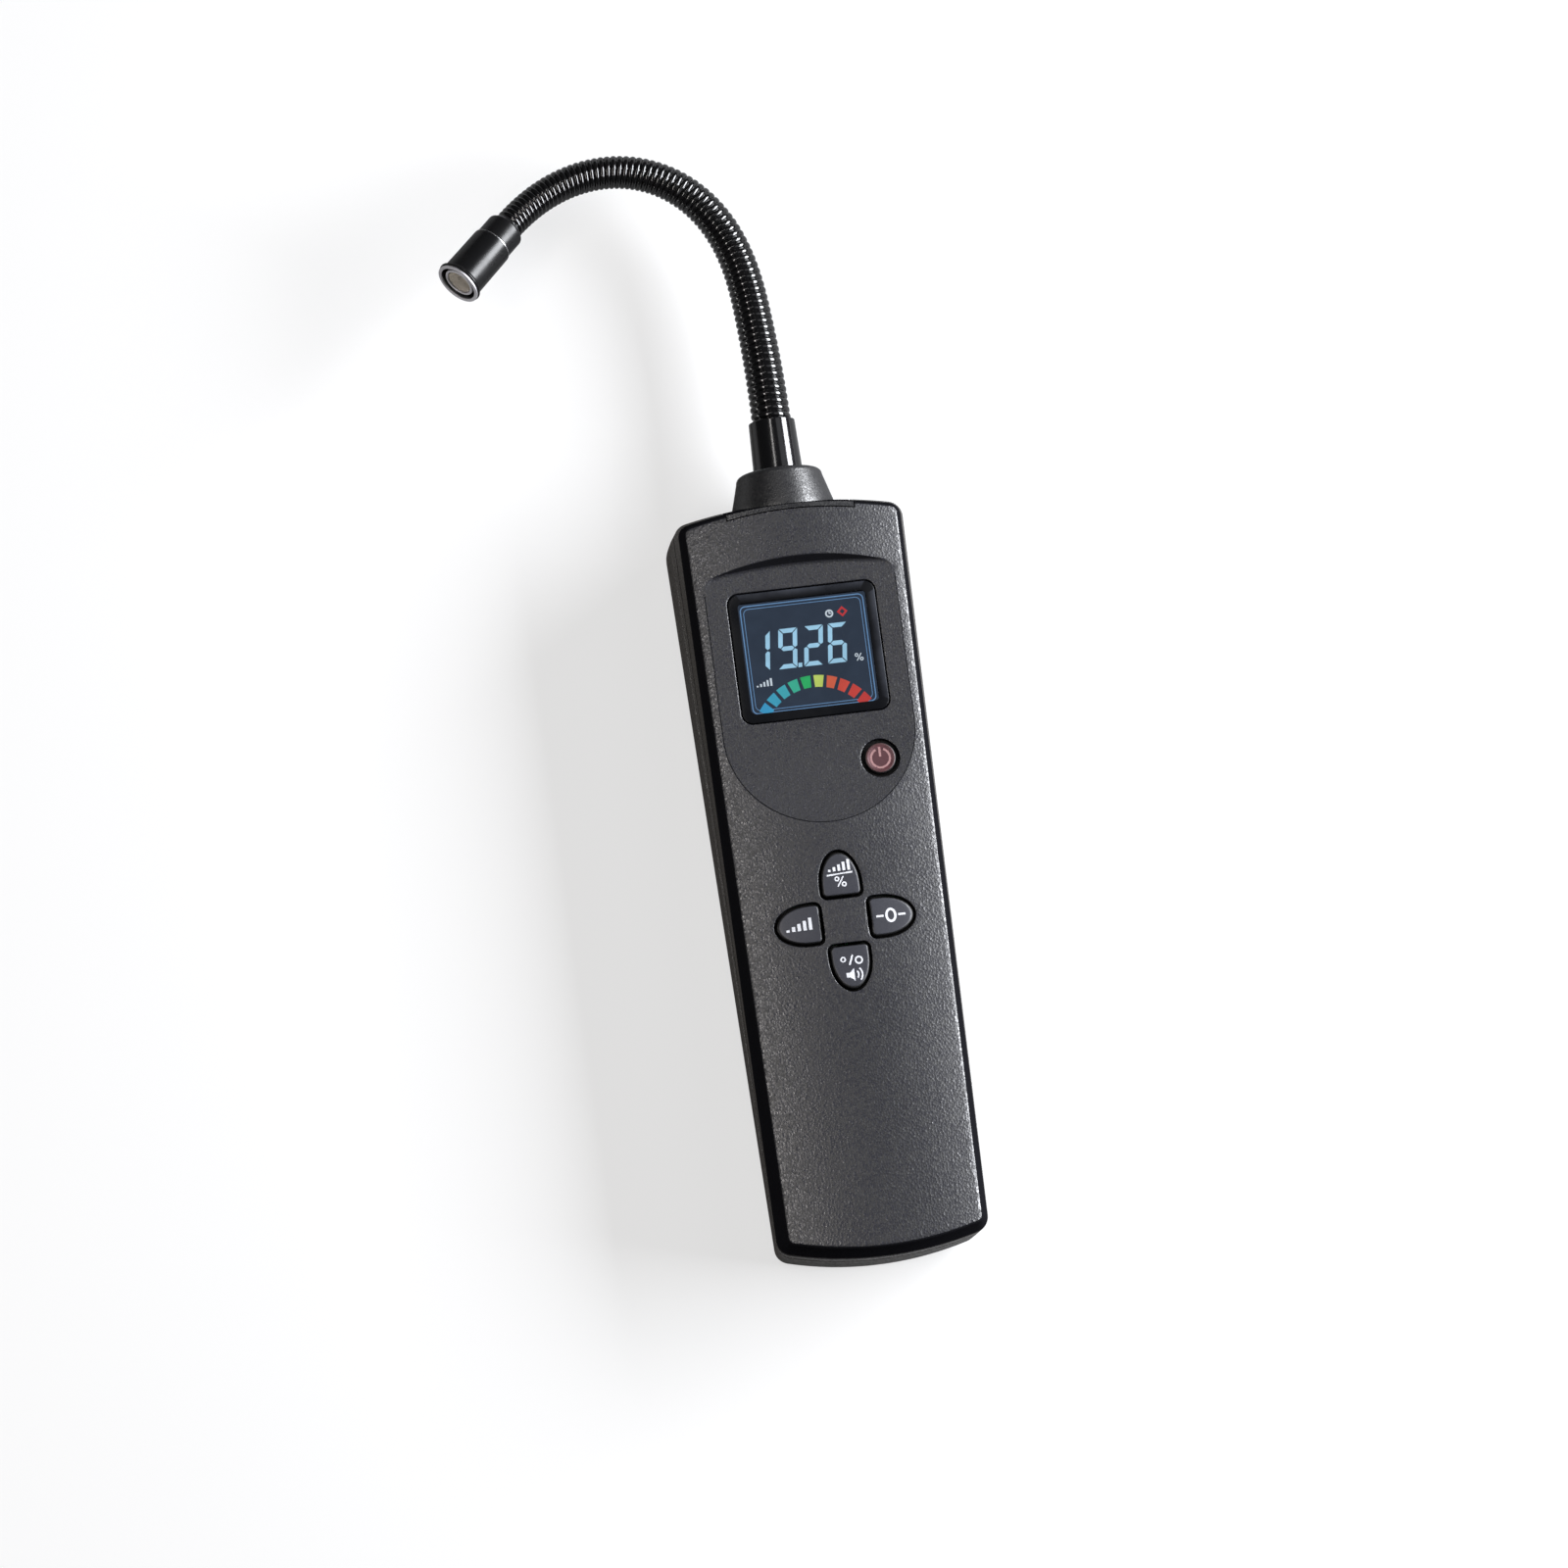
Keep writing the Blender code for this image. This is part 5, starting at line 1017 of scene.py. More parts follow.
def face_features():
    """Places along the recess's edges where the sheet needs close points."""
    marks = []
    x = -RECESS_HALF_WIDTH + 0.02 * MM
    while x < RECESS_HALF_WIDTH:
        lip_y, foot_y = wall_line(x)
        marks += [(x, lip_y + d * MM) for d in (-0.45, -0.25, -0.1, 0.05, 0.18, 0.4)]
        marks += [(x, foot_y + d * MM) for d in (-0.9, -0.6, -0.3, 0.0, 0.3, 0.6)]
        x += 0.4 * MM
    for d in (-0.75, -0.4, -0.15, 0.0, 0.15, 0.4, 0.75):
        radius = RECESS_HALF_WIDTH + d * MM
        angles = [math.pi * i / 110 for i in range(111)]
        marks += [(radius * math.cos(a), RECESS_ROUND_Y - radius * math.sin(a)) for a in angles]
        y = RECESS_ROUND_Y + 0.7 * MM
        while y < RECESS_SIDE_END:
            marks += [(radius, y), (-radius, y)]
            y += 0.7 * MM
    return marks


def build_front_cover():
    steps = {"corner_steps": 8, "bow_steps": 26, "side_steps": 130}
    top = [(x, y) for x, y, _ in front_edge(FACE_EDGE_ROUND, 0.0, steps)]
    openings = [lambda grow, t=turn: key_outline(t, grow) for turn in KEYS.values()]
    openings += [lambda grow: power_outline(POWER_HOLE_RADIUS + grow), lens_outline]
    holes = [outline_at(HOLE_ROUND) for outline_at in openings]
    flat, faces, ids = sheet(top, holes, face_features(), FACE_PITCH, FACE_MARGIN)

    skin = Skin()
    upper = skin.layer(flat, faces, surface_z)
    lower = skin.layer(flat, faces, lambda x, y: surface_z(x, y) - SKIN, up=False)
    rings = [front_edge(FACE_EDGE_ROUND * inwards, FACE_EDGE_ROUND * down, steps)
             for inwards, down in quarter_round()[1:]]
    rim = []
    for high, low in zip(front_outline(0.0, 0.0, **steps), front_outline(1.0, 0.0, **steps)):
        z = rim_z(high[1])
        rim.append((*between(high, low, (FACE_EDGE_Z - z) / (FACE_EDGE_Z - PARTING_Z)), z))
    rings.append(rim)
    low_z = PARTING_Z + PARTING_BREAK
    for inset, z in ((0.0, low_z), (PARTING_BREAK, PARTING_Z), (FACE_EDGE_ROUND, PARTING_Z)):
        rings.append([(x, y, z) for x, y in front_outline(1.0, inset, **steps)])
    last = skin.carry([upper[i] for i in ids[0]], rings)
    skin.bridge(last, [lower[i] for i in ids[0]])

    through = [(0.0, WALL), (HOLE_ROUND, WALL)]
    stepped = [(0.0, LENS_POCKET), (-LENS_LEDGE, LENS_POCKET), (-LENS_LEDGE, WALL), (HOLE_ROUND, WALL)]
    for outline_at, loop in zip(openings, ids[1:]):
        rings = [[(x, y, surface_z(x, y) - HOLE_ROUND * down) for x, y in outline_at(HOLE_ROUND * inwards)]
                 for inwards, down in quarter_round()[1:]]
        for grow, depth in stepped if outline_at is lens_outline else through:
            heights = [surface_z(x, y) - depth for x, y in outline_at(0.0)]
            rings.append([(x, y, z) for (x, y), z in zip(outline_at(grow), heights)])
        last = skin.carry([upper[i] for i in loop], rings)
        skin.bridge(last, [lower[i] for i in loop])
    cover = solid(skin.mesh())
    cut(cover, notch_block(GAP))
    piece("face_cover", taken(cover), "front_plastic front_wall rear_plastic", replaces=["front_cover"],
          smooth=40.0, rule=face_rule)


def notch_block(grow):
    """Block of the neck mount's insert: its inner side runs parallel to the bowed end."""
    half = INSERT_HALF_WIDTH + grow
    bow_radius = (CROWN_HALF_WIDTH**2 + FACE_TOP_BOW**2) / (2 * FACE_TOP_BOW)
    bow_centre = HALF_LENGTH + FACE_TOP_BOW - bow_radius
    inner_radius = bow_radius - INSERT_STRIP - grow
    xs = [-half + 2 * half * i / 24 for i in range(25)]
    outline = [(x, bow_centre + math.sqrt(inner_radius**2 - x**2)) for x in xs]
    outline += [(half, HALF_LENGTH + FAR), (-half, HALF_LENGTH + FAR)]
    return prism(outline, INSERT_BOTTOM_Z - grow, CROWN_TOP_Z + 2 * OVERCUT)


# Rear cover and battery door

def rear_rings(top_break=PARTING_BREAK):
    """Rings of the rear cover's outside, from the back up to the parting line."""
    rings = [rear_ring(0.0, 1.0, BACK_EDGE_ROUND + BACK_BORDER)]
    for i in range(10):
        angle = math.pi / 2 * i / 9
        rings.append(rear_ring(BACK_EDGE_ROUND * (1 - math.cos(angle)), 1.0,
                               BACK_EDGE_ROUND * (1 - math.sin(angle))))
    rings.append(rear_ring(REAR_WIDEST_Z - 2 * MM, 1.0))
    rings.append(rear_ring(REAR_WIDEST_Z, rear_share(REAR_WIDEST_Z + 0.5 * MM)))
    rings.append(rear_ring(REAR_WIDEST_Z + 2 * MM, rear_share(REAR_WIDEST_Z + 2 * MM)))
    low = GROOVE_Z - GROOVE_WIDTH / 2
    high = GROOVE_Z + GROOVE_WIDTH / 2
    for z, depth in ((low - GROOVE_BREAK, 0.0), (low, GROOVE_BREAK), (low, GROOVE_DEPTH),
                     (high, GROOVE_DEPTH), (high, GROOVE_BREAK), (high + GROOVE_BREAK, 0.0)):
        rings.append(rear_ring(z, rear_share(z), depth))
    rings.append(rear_ring(REAR_RIM_Z - top_break, rear_share(REAR_RIM_Z - top_break)))
    rings.append(rear_ring(REAR_RIM_Z, 0.0, top_break))
    return rings


def door_section(grow, low):
    """The door's T-shaped section as a long solid: skin, and wider runners over it."""
    step_z = DOOR_FLUSH_STEP + DOOR_SKIN - grow
    runner_top = DOOR_FLUSH_STEP + DOOR_SKIN + DOOR_TONGUE + grow
    skin_half = DOOR_HALF_WIDTH + grow
    runner_half = skin_half + DOOR_RUNNER
    section = [(skin_half, low), (skin_half, step_z), (runner_half, step_z), (runner_half, runner_top)]
    section += [(-x, z) for x, z in reversed(section)]
    far = -HALF_LENGTH - FAR
    return loft([[(x, far, z) for x, z in section], [(x, DOOR_TOP_Y + grow, z) for x, z in section]])


def build_rear_cover():
    """Outside, tongue and inside as one skin; then the compartment, the posts and the screws' bores."""
    rings = rear_rings()
    tongue_outer = WALL - TONGUE_THICKNESS + GAP
    tongue_top = REAR_RIM_Z + TONGUE_HEIGHT
    share = (FACE_EDGE_Z - tongue_top) / (FACE_EDGE_Z - PARTING_Z)
    rings.append(rear_ring(REAR_RIM_Z, 0.0, tongue_outer))
    for inset in (tongue_outer, WALL):
        rings.append([(x, y, tongue_top) for x, y in front_outline(share, inset)])
    rings.append(rear_ring(REAR_RIM_Z, 0.0, WALL))
    rings.append(rear_ring(REAR_WIDEST_Z, 1.0, WALL))
    inner_round = BACK_EDGE_ROUND - WALL
    for i in range(4):
        angle = math.pi / 2 * (1 - i / 3)
        rings.append(rear_ring(WALL + inner_round * (1 - math.cos(angle)), 1.0,
                               WALL + inner_round * (1 - math.sin(angle))))
    cover = solid(loft(rings))

    cell_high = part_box("battery_cell_2")[1]
    plate_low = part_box("contact_plate_bottom_single")[0].y - GAP
    plate_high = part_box("contact_plate_top_single")[1].y + GAP
    pack_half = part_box("battery_cell_3")[1].x + GAP
    pack_top = cell_high.z + GAP
    tray_half = DOOR_HALF_WIDTH + DOOR_RUNNER + GAP + COMPARTMENT_WALL
    runner_top = DOOR_FLUSH_STEP + DOOR_SKIN + DOOR_TONGUE
    cut(cover, box(-tray_half, tray_half, plate_low - COMPARTMENT_WALL, DOOR_TOP_Y + GAP + COMPARTMENT_WALL,
                   WALL / 2, pack_top + COMPARTMENT_WALL), "UNION")
    screws = [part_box(name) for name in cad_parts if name.startswith("housing_screw")]
    places = [Matrix.Translation(((low.x + high.x) / 2, (low.y + high.y) / 2, 0.0)) for low, high in screws]
    bore = SCREW_HEAD_RADIUS + GAP
    flared = bore + SCREW_BORE_FLARE
    post = [(bore + POST_WALL, WALL / 2), (bore + POST_WALL, REAR_RIM_Z)]
    profile = [(flared + OVERCUT, -OVERCUT), (flared, 0.0), (bore, SCREW_BORE_FLARE), (bore, SCREW_SEAT_Z),
               (SCREW_HOLE_RADIUS, SCREW_SEAT_Z), (SCREW_HOLE_RADIUS, PARTING_Z + OVERCUT)]
    for place in places:
        cut(cover, placed(lathe(post, 40), place), "UNION")
    for place in places:
        cut(cover, placed(lathe(profile, 40), place))
    cut(cover, box(-pack_half, pack_half, plate_low, plate_high, runner_top, pack_top))
    cut(cover, door_section(GAP, -OVERCUT))
    cut(cover, notch_block(GAP))
    piece("back_cover", taken(cover), "rear_plastic front_wall", replaces=["rear_cover"],
          rule=seam_rule)


def seam_rule(middle, normal):
    """Painted shade: the parting edge and the groove round the rear cover are painted black."""
    in_groove = abs(middle.z - GROOVE_Z) < GROOVE_WIDTH / 2 and rear_depth(middle) > GROOVE_DEPTH / 4
    return 1 if in_groove or middle.z > REAR_RIM_Z - PARTING_BREAK else 0


def rear_depth(point):
    """Rough depth of a point under the rear cover's sides and ends."""
    share = rear_share(point.z)
    along = held(point.y / HALF_LENGTH / 2 + 0.5)
    half = (FACE_WIDTH_BOTTOM + (FACE_WIDTH_TOP - FACE_WIDTH_BOTTOM) * along) / 2 + PARTING_FLARE
    half += share * (REAR_SIDE_BOTTOM + (REAR_SIDE_TOP - REAR_SIDE_BOTTOM) * along)
    if abs(point.y) > HALF_LENGTH - 2 * MM:
        return GROOVE_DEPTH
    return half - abs(point.x)


def build_battery_door():
    door = solid(loft(rear_rings()))
    cut(door, door_section(0.0, DOOR_FLUSH_STEP), "INTERSECT")
    for i in range(5):
        y = DOOR_TOP_Y - DOOR_GRIP_MARGIN - DOOR_GRIP_PITCH * i - DOOR_GRIP_WIDTH / 2
        groove = rounded_rectangle(DOOR_GRIP_LENGTH, DOOR_GRIP_WIDTH, DOOR_GRIP_WIDTH * 0.48, (0.0, y), 6)
        cut(door, prism(groove, -OVERCUT, DOOR_FLUSH_STEP + DOOR_GRIP_DEPTH))
    piece("door", taken(door), "door_plastic", "battery_door", ["battery_door"])


# Neck mount and ferrule

def along_neck_axis(mesh):
    """A shape turned round Z, laid along the neck's axis at the housing."""
    return placed(placed(mesh, Matrix.Rotation(-math.pi / 2, 4, "X")), Matrix.Translation((0.0, 0.0, NECK_Z)))


def crown_block(z0):
    """Everything under the crowned face."""
    reach = CROWN_HALF_WIDTH + FAR / 2
    xs = [reach - 2 * reach * i / 60 for i in range(61)]
    section = [(x, crown_z(x)) for x in xs] + [(-reach, z0), (reach, z0)]
    far = HALF_LENGTH + FAR
    return loft([[(x, -far, z) for x, z in section], [(x, far, z) for x, z in section]])


def build_neck_mount():
    steps = {"corner_steps": 7, "bow_steps": 30}
    top_share = (FACE_EDGE_Z - CROWN_TOP_Z - 2 * OVERCUT) / (FACE_EDGE_Z - PARTING_Z)
    low_z = REAR_RIM_Z - GAP
    low_share = (FACE_EDGE_Z - low_z) / (FACE_EDGE_Z - PARTING_Z)
    mount = solid(loft([
        [(x, y, low_z) for x, y in front_outline(low_share, 0.0, **steps)],
        [(x, y, CROWN_TOP_Z + 2 * OVERCUT) for x, y in front_outline(top_share, 0.0, **steps)]]))
    cut(mount, crown_block(REAR_RIM_Z - 2 * OVERCUT), "INTERSECT")
    cut(mount, loft(rear_rings(0.0)), "UNION")
    cut(mount, notch_block(0.0), "INTERSECT")
    collar_start = HALF_LENGTH + FACE_TOP_BOW - INSERT_STRIP
    profile = [(COLLAR_BASE_RADIUS - 2 * MM, collar_start), (COLLAR_BASE_RADIUS, collar_start),
               (COLLAR_BASE_RADIUS, HALF_LENGTH + FACE_TOP_BOW + PARTING_FLARE + REAR_END_TOP / 2)]
    shoulder_y = COLLAR_TIP_Y - COLLAR_SHOULDER
    for i in range(11):
        angle = math.pi / 2 * i / 10
        profile.append((COLLAR_TIP_RADIUS - COLLAR_SHOULDER * (1 - math.cos(angle)),
                        shoulder_y + COLLAR_SHOULDER * math.sin(angle)))
    profile.append((COLLAR_TIP_RADIUS - COLLAR_SHOULDER - 1 * MM, COLLAR_TIP_Y))
    cut(mount, along_neck_axis(lathe(profile, TURN_STEPS)), "UNION")
    tail = FERRULE_TAIL_RADIUS + GAP
    mouth = FERRULE_BASE_RADIUS + GAP
    flared = mouth + COLLAR_MOUTH_BREAK
    bore = [(tail, FERRULE_TAIL_Y), (tail, FERRULE_SEAT_Y), (mouth, FERRULE_SEAT_Y),
            (mouth, COLLAR_TIP_Y - COLLAR_MOUTH_BREAK), (flared, COLLAR_TIP_Y),
            (flared + OVERCUT, COLLAR_TIP_Y + OVERCUT)]
    cut(mount, along_neck_axis(lathe(bore, TURN_STEPS)))
    piece("collar", taken(mount), "collar_plastic front_wall rear_plastic", replaces=["neck_mount"],
          smooth=28.0, rule=mount_rule)


def mount_rule(middle, normal):
    """The insert's outer wall carries on the housing's wall, painted black as painted shade, and its grey
    rim.
    """
    beside_collar = math.hypot(middle.x, middle.z - NECK_Z) > COLLAR_BASE_RADIUS + 0.1 * MM
    if not beside_collar or normal.y < 0.5:
        return 0
    return 1 if rim_z(middle.y) < middle.z < FACE_EDGE_Z + CROWN_RISE - FACE_EDGE_ROUND else 2


def build_base_ferrule():
    seat = FERRULE_TIP_Y - NECK_SEAT_DEPTH
    mouth = NECK_BASE_RADIUS + GAP
    profile = [
        (FERRULE_BORE_RADIUS, FERRULE_TAIL_Y), (FERRULE_TAIL_RADIUS, FERRULE_TAIL_Y),
        (FERRULE_TAIL_RADIUS, FERRULE_SEAT_Y + GAP), (FERRULE_BASE_RADIUS, FERRULE_SEAT_Y + GAP),
        (FERRULE_BASE_RADIUS, COLLAR_TIP_Y + GAP), (FERRULE_TIP_RADIUS, FERRULE_TIP_Y),
        (mouth, FERRULE_TIP_Y), (mouth, seat), (FERRULE_BORE_RADIUS, seat),
    ]
    mesh = along_neck_axis(turned(profile, TURN_STEPS, 0.3 * MM))
    piece("ferrule", mesh, "black_metal", replaces=["base_ferrule"])


# Gooseneck

def ease(value):
    """A smooth step from 0 to 1."""
    value = held(value)
    return value * value * (3 - 2 * value)


def neck_radius(s):
    """Radius of the ridges' crests at arc length s."""
    return NECK_BASE_RADIUS + (NECK_TIP_RADIUS - NECK_BASE_RADIUS) * held(s / NECK_LENGTH)


def neck_direction(s):
    """Unit tangent of the neck at arc length s from the ferrule's mouth."""
    t = held(s / NECK_LENGTH)
    heading = math.radians(NECK_LEAN * t + NECK_BEND * ease((t - NECK_BEND_START) / NECK_BEND_SPAN))
    rise = math.radians(NECK_TIP_RISE * ease((t - NECK_RISE_START) / (1 - NECK_RISE_START)))
    level = math.cos(rise)
    return Vector((-math.sin(heading) * level, math.cos(heading) * level, math.sin(rise)))


def neck_route(stations):
    """Place and direction of the neck's middle line at each arc length."""
    here = Vector((0.0, FERRULE_TIP_Y, NECK_Z)) + neck_direction(0.0) * stations[0]
    route = [(here.copy(), neck_direction(stations[0]))]
    for before, after in zip(stations, stations[1:]):
        steps = max(1, math.ceil((after - before) * 240 / NECK_LENGTH))
        step = (after - before) / steps
        for i in range(steps):
            here += neck_direction(before + step * (i + 0.5)) * step
        route.append((here.copy(), neck_direction(after)))
    return route


def build_gooseneck():
    """Wound tube: one helical ridge with a round crest and a sharp valley, finer towards the tip."""
    stations, turns = [0.0], [0.0]
    while stations[-1] < NECK_LENGTH:
        pitch = RIDGE_PITCH_RATIO * neck_radius(stations[-1])
        stations.append(stations[-1] + pitch / RIDGE_STEPS_PER_TURN)
        turns.append(turns[-1] + 1 / RIDGE_STEPS_PER_TURN)
    stations = [-NECK_SEAT_DEPTH + GAP, -0.5 * MM] + stations + [NECK_LENGTH + HEAD_NECK_SEAT]
    turns = [0.0, 0.0] + turns + [turns[-1]]
    rings = []
    for (point, tangent), turn, s in zip(neck_route(stations), turns, stations):
        across = tangent.cross(Vector((0.0, 0.0, 1.0))).normalized()
        up = across.cross(tangent)
        ring = []
        for i in range(RIDGE_SIDES):
            angle = math.tau * i / RIDGE_SIDES
            place = (turn - i / RIDGE_SIDES) % 1.0 * 2 - 1
            crest = math.sqrt(max(1 - place * place, 0.0)) if 0 <= s <= NECK_LENGTH else 0.0
            reach = neck_radius(s) * (1 - RIDGE_DEPTH_RATIO * (1 - crest))
            ring.append(point + (across * math.cos(angle) + up * math.sin(angle)) * reach)
        rings.append(ring)
    piece("neck", loft(rings), "neck_metal", replaces=["gooseneck"], smooth=70.0)


# Sensor head

def head_matrix():
    """The head's frame: Z along the neck's last direction, from the neck's tip."""
    tip, direction = neck_route([0.0, NECK_LENGTH])[1]
    return Matrix.Translation(tip) @ direction.to_track_quat("Z", "Y").to_matrix().to_4x4()


def build_head():
    """Sleeve, guard, ring and can as turned profiles of (radius, height) on the head's axis."""
    place = head_matrix()
    ferrule = 6.7 * MM
    spigot = 4.3 * MM
    sleeve = 5.15 * MM
    lead = 2.25 * MM
    rear = ferrule + GAP
    front = HEAD_LENGTH - 0.5 * MM
    bore = 5.2 * MM
    lip = 6.32 * MM
    ring = 6.1 * MM
    can = 4.2 * MM
    can_mouth = 3.55 * MM
    neck_hole = NECK_TIP_RADIUS + GAP
    shapes = [
        ("guard_washer", (), "steel", "bright_metal", 0.04 * MM, [
            (4.75 * MM, ferrule + 0.02 * MM), (5.42 * MM, ferrule + 0.02 * MM),
            (5.42 * MM, rear - 0.02 * MM), (4.75 * MM, rear - 0.02 * MM)]),
        ("head_sleeve", ["head_ferrule"], "head_metal", "black_metal", 0.35 * MM, [
            (neck_hole, 0.0), (4.35 * MM, 0.0), (sleeve, 0.9 * MM), (sleeve, ferrule), (spigot, ferrule),
            (spigot, ferrule + 3 * MM), (lead, ferrule + 3 * MM), (lead, HEAD_NECK_SEAT + GAP),
            (neck_hole, HEAD_NECK_SEAT + GAP)]),
        ("guard", ["sensor_cap"], "head_metal", "black_metal", 0.2 * MM, [
            (spigot + GAP, rear), (5.5 * MM, rear), (5.65 * MM, front - 1.3 * MM),
            (5.95 * MM, front - 1.1 * MM), (5.75 * MM, front - 0.9 * MM), (lip, front - 0.7 * MM),
            (lip, front - GAP), (bore, front - GAP), (bore, ferrule + 6.7 * MM),
            (spigot + GAP, ferrule + 6.3 * MM)]),
        ("guard_ring", ["cap_ring"], "mouth_metal", "bright_metal", 0.15 * MM, [
            (bore, front), (ring, front), (ring, HEAD_LENGTH), (bore, HEAD_LENGTH)]),
        ("can", ["sensor_can"], "mouth_metal", "bright_metal", 0.15 * MM, [
            (1.0 * MM, front - 5 * MM), (can, front - 5 * MM), (can, front), (can_mouth, front),
            (can_mouth, front - 1 * MM), (1.0 * MM, front - 1 * MM)]),
    ]
    for name, nodes, finish, slot, soft, profile in shapes:
        mesh = placed(turned(profile, HEAD_STEPS, soft), place)
        piece(name, mesh, finish, replaces=nodes)
    build_gauze(place, front - 0.45 * MM)


def build_gauze(place, height):
    """Woven wire disc, slightly domed; height is that of its rim."""
    skin = Skin()
    count = int(GAUZE_RADIUS / GAUZE_PITCH)
    for direction in (0, 1):
        for row in range(-count, count + 1):
            across = row * GAUZE_PITCH
            half = math.sqrt(max(GAUZE_RADIUS**2 - across**2, 0.0))
            if half < GAUZE_PITCH:
                continue
            parts = max(6, int(2 * half / (GAUZE_PITCH / 2)))
            rings = []
            for i in range(parts + 1):
                along = -half + 2 * half * i / parts
                weave = math.cos(math.pi * along / GAUZE_PITCH) * (1 if (row + direction) % 2 else -1)
                dome = GAUZE_DOME * (1 - (along**2 + across**2) / GAUZE_RADIUS**2)
                z = height + dome + weave * GAUZE_WIRE * 0.9
                ring = []
                for a in (math.tau * k / 6 for k in range(6)):
                    side = across + GAUZE_WIRE * math.cos(a)
                    spot = (along, side) if direction == 0 else (side, along)
                    ring.append((*spot, z + GAUZE_WIRE * math.sin(a)))
                rings.append(skin.ring(ring))
            for a, b in zip(rings, rings[1:]):
                skin.bridge(a, b)
            skin.add([tuple(reversed(rings[0])), tuple(rings[-1])])
    mesh = placed(mesh_of(skin.points, skin.faces), place)
    piece("gauze", mesh, "gauze_metal", replaces=["sensor_mesh"], smooth=80.0)


# Keys, power button and what is printed on them

def build_button(name, node, outline_at, play, top_at, finish, body):
    """Cap with a flange, its top sheet following the given height, its edge rounded."""
    low_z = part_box(node)[0].z
    flange = -play + FLANGE_REACH
    flat, faces, ids = sheet(outline_at(-play - KEY_ROUND), [], [], 0.7 * MM, 0.3 * MM)
    skin = Skin()
    upper = skin.layer(flat, faces, top_at)
    rounding = [[(x, y, top_at(x, y) - KEY_ROUND * down) for x, y in outline_at(-play - KEY_ROUND * inwards)]
                for inwards, down in quarter_round(6)[1:]]
    walls = [[(x, y, z) for x, y in outline_at(grow)] for grow, z in
             ((-play, low_z + FLANGE_HEIGHT), (flange, low_z + FLANGE_HEIGHT), (flange, low_z))]
    last = skin.carry([upper[i] for i in ids[0]], rounding[:2])
    last = skin.carry(last, rounding[2:] + walls, 1)
    skin.add([tuple(last)], 1)
    piece(name, skin.mesh(), finish, body, [node], 40.0)


def key_top(x, y):
    return crown_z(x, KEY_PROUD)


def power_top(x, y):
    """Top of the power cap: a raised rim round a shallow dish."""
    distance = math.hypot(x - POWER_X, y - POWER_Y)
    dish = ease((POWER_RADIUS - POWER_RIM - distance) / POWER_DISH_SLOPE)
    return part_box("power_button")[1].z - POWER_DISH * dish


def decal(name, shapes, top_at, finish, body, lift=0.03 * MM, depth=0.06 * MM):
    """Thin printed shapes lying on a surface: each is an outline with its holes."""
    skin = Skin()
    for outer, holes in shapes:
        flat, faces, ids = sheet(outer, holes, [], 0.8 * MM, 0.15 * MM)
        upper = skin.layer(flat, faces, lambda x, y: top_at(x, y) + lift)
        lower = skin.layer(flat, faces, lambda x, y: top_at(x, y) + lift - depth, up=False)
        for loop in ids:
            skin.bridge([upper[i] for i in loop], [lower[i] for i in loop])
    piece(name, skin.mesh(), finish, body, smooth=50.0)


def stroke(points, width, closed=False):
    """Outline of a line drawn through points with a given width, with square ends."""
    count = len(points)
    left, right = [], []
    for i, point in enumerate(points):
        here = Vector(point)
        back = Vector(points[i - 1]) if (i > 0 or closed) else None
        ahead = Vector(points[(i + 1) % count]) if (i < count - 1 or closed) else None
        a = (here - back).normalized() if back is not None else (ahead - here).normalized()
        b = (ahead - here).normalized() if ahead is not None else a
        middle = (a + b).normalized()
        normal = Vector((-middle.y, middle.x)) * (width / 2 / max(middle.dot(a), 0.4))
        left.append(tuple(here + normal))
        right.append(tuple(here - normal))
    if closed:
        return left, right
    return left + list(reversed(right))


def arc(cx, cy, radius, start, end, steps=14):
    """Points along an arc, its angles in degrees."""
    angles = [math.radians(start + (end - start) * i / steps) for i in range(steps + 1)]
    return [(cx + radius * math.cos(a), cy + radius * math.sin(a)) for a in angles]


def ring_shape(cx, cy, radius, width, steps=24, stretch=1.0):
    """A ring drawn as a line, taller than wide by the stretch."""
    def loop(grow):
        return [(cx + (radius + grow) * math.cos(math.tau * i / steps),
                 cy + (radius * stretch + grow) * math.sin(math.tau * i / steps)) for i in range(steps)]

    return loop(width / 2), [loop(-width / 2)]


def moved(shapes, dx, dy, size=MM):
    """Shapes drawn in millimetres, put in place."""
    out = []
    for outer, holes in shapes:
        out.append(([(dx + x * size, dy + y * size) for x, y in outer],
                    [[(dx + x * size, dy + y * size) for x, y in hole] for hole in holes]))
    return out


def bar(x0, y0, x1, y1, width):
    return stroke([(x0, y0), (x1, y1)], width), []


def rising_bars(x, y, pitch, rise, width):
    return [bar(x + pitch * i, y, x + pitch * i, y + rise * (i + 1), width) for i in range(5)]


def speaker(dx, dy, size):
    """Speaker sign: a small body with a cone, and two sound arcs."""
    body = [(-1.6, -0.45), (-0.9, -0.45), (0.0, -1.2), (0.0, 1.2), (-0.9, 0.45), (-1.6, 0.45)]
    waves = [(stroke(arc(-0.2, 0.0, radius, -42, 42), 0.3), []) for radius in (1.0, 1.75)]
    return moved([(body, [])] + waves, dx, dy, size)


def percent(dx, dy, size):
    shapes = [ring_shape(-0.62, 0.55, 0.36, 0.26, 16), ring_shape(0.62, -0.55, 0.36, 0.26, 16),
              bar(-0.62, -0.95, 0.62, 0.95, 0.26)]
    return moved(shapes, dx, dy, size)


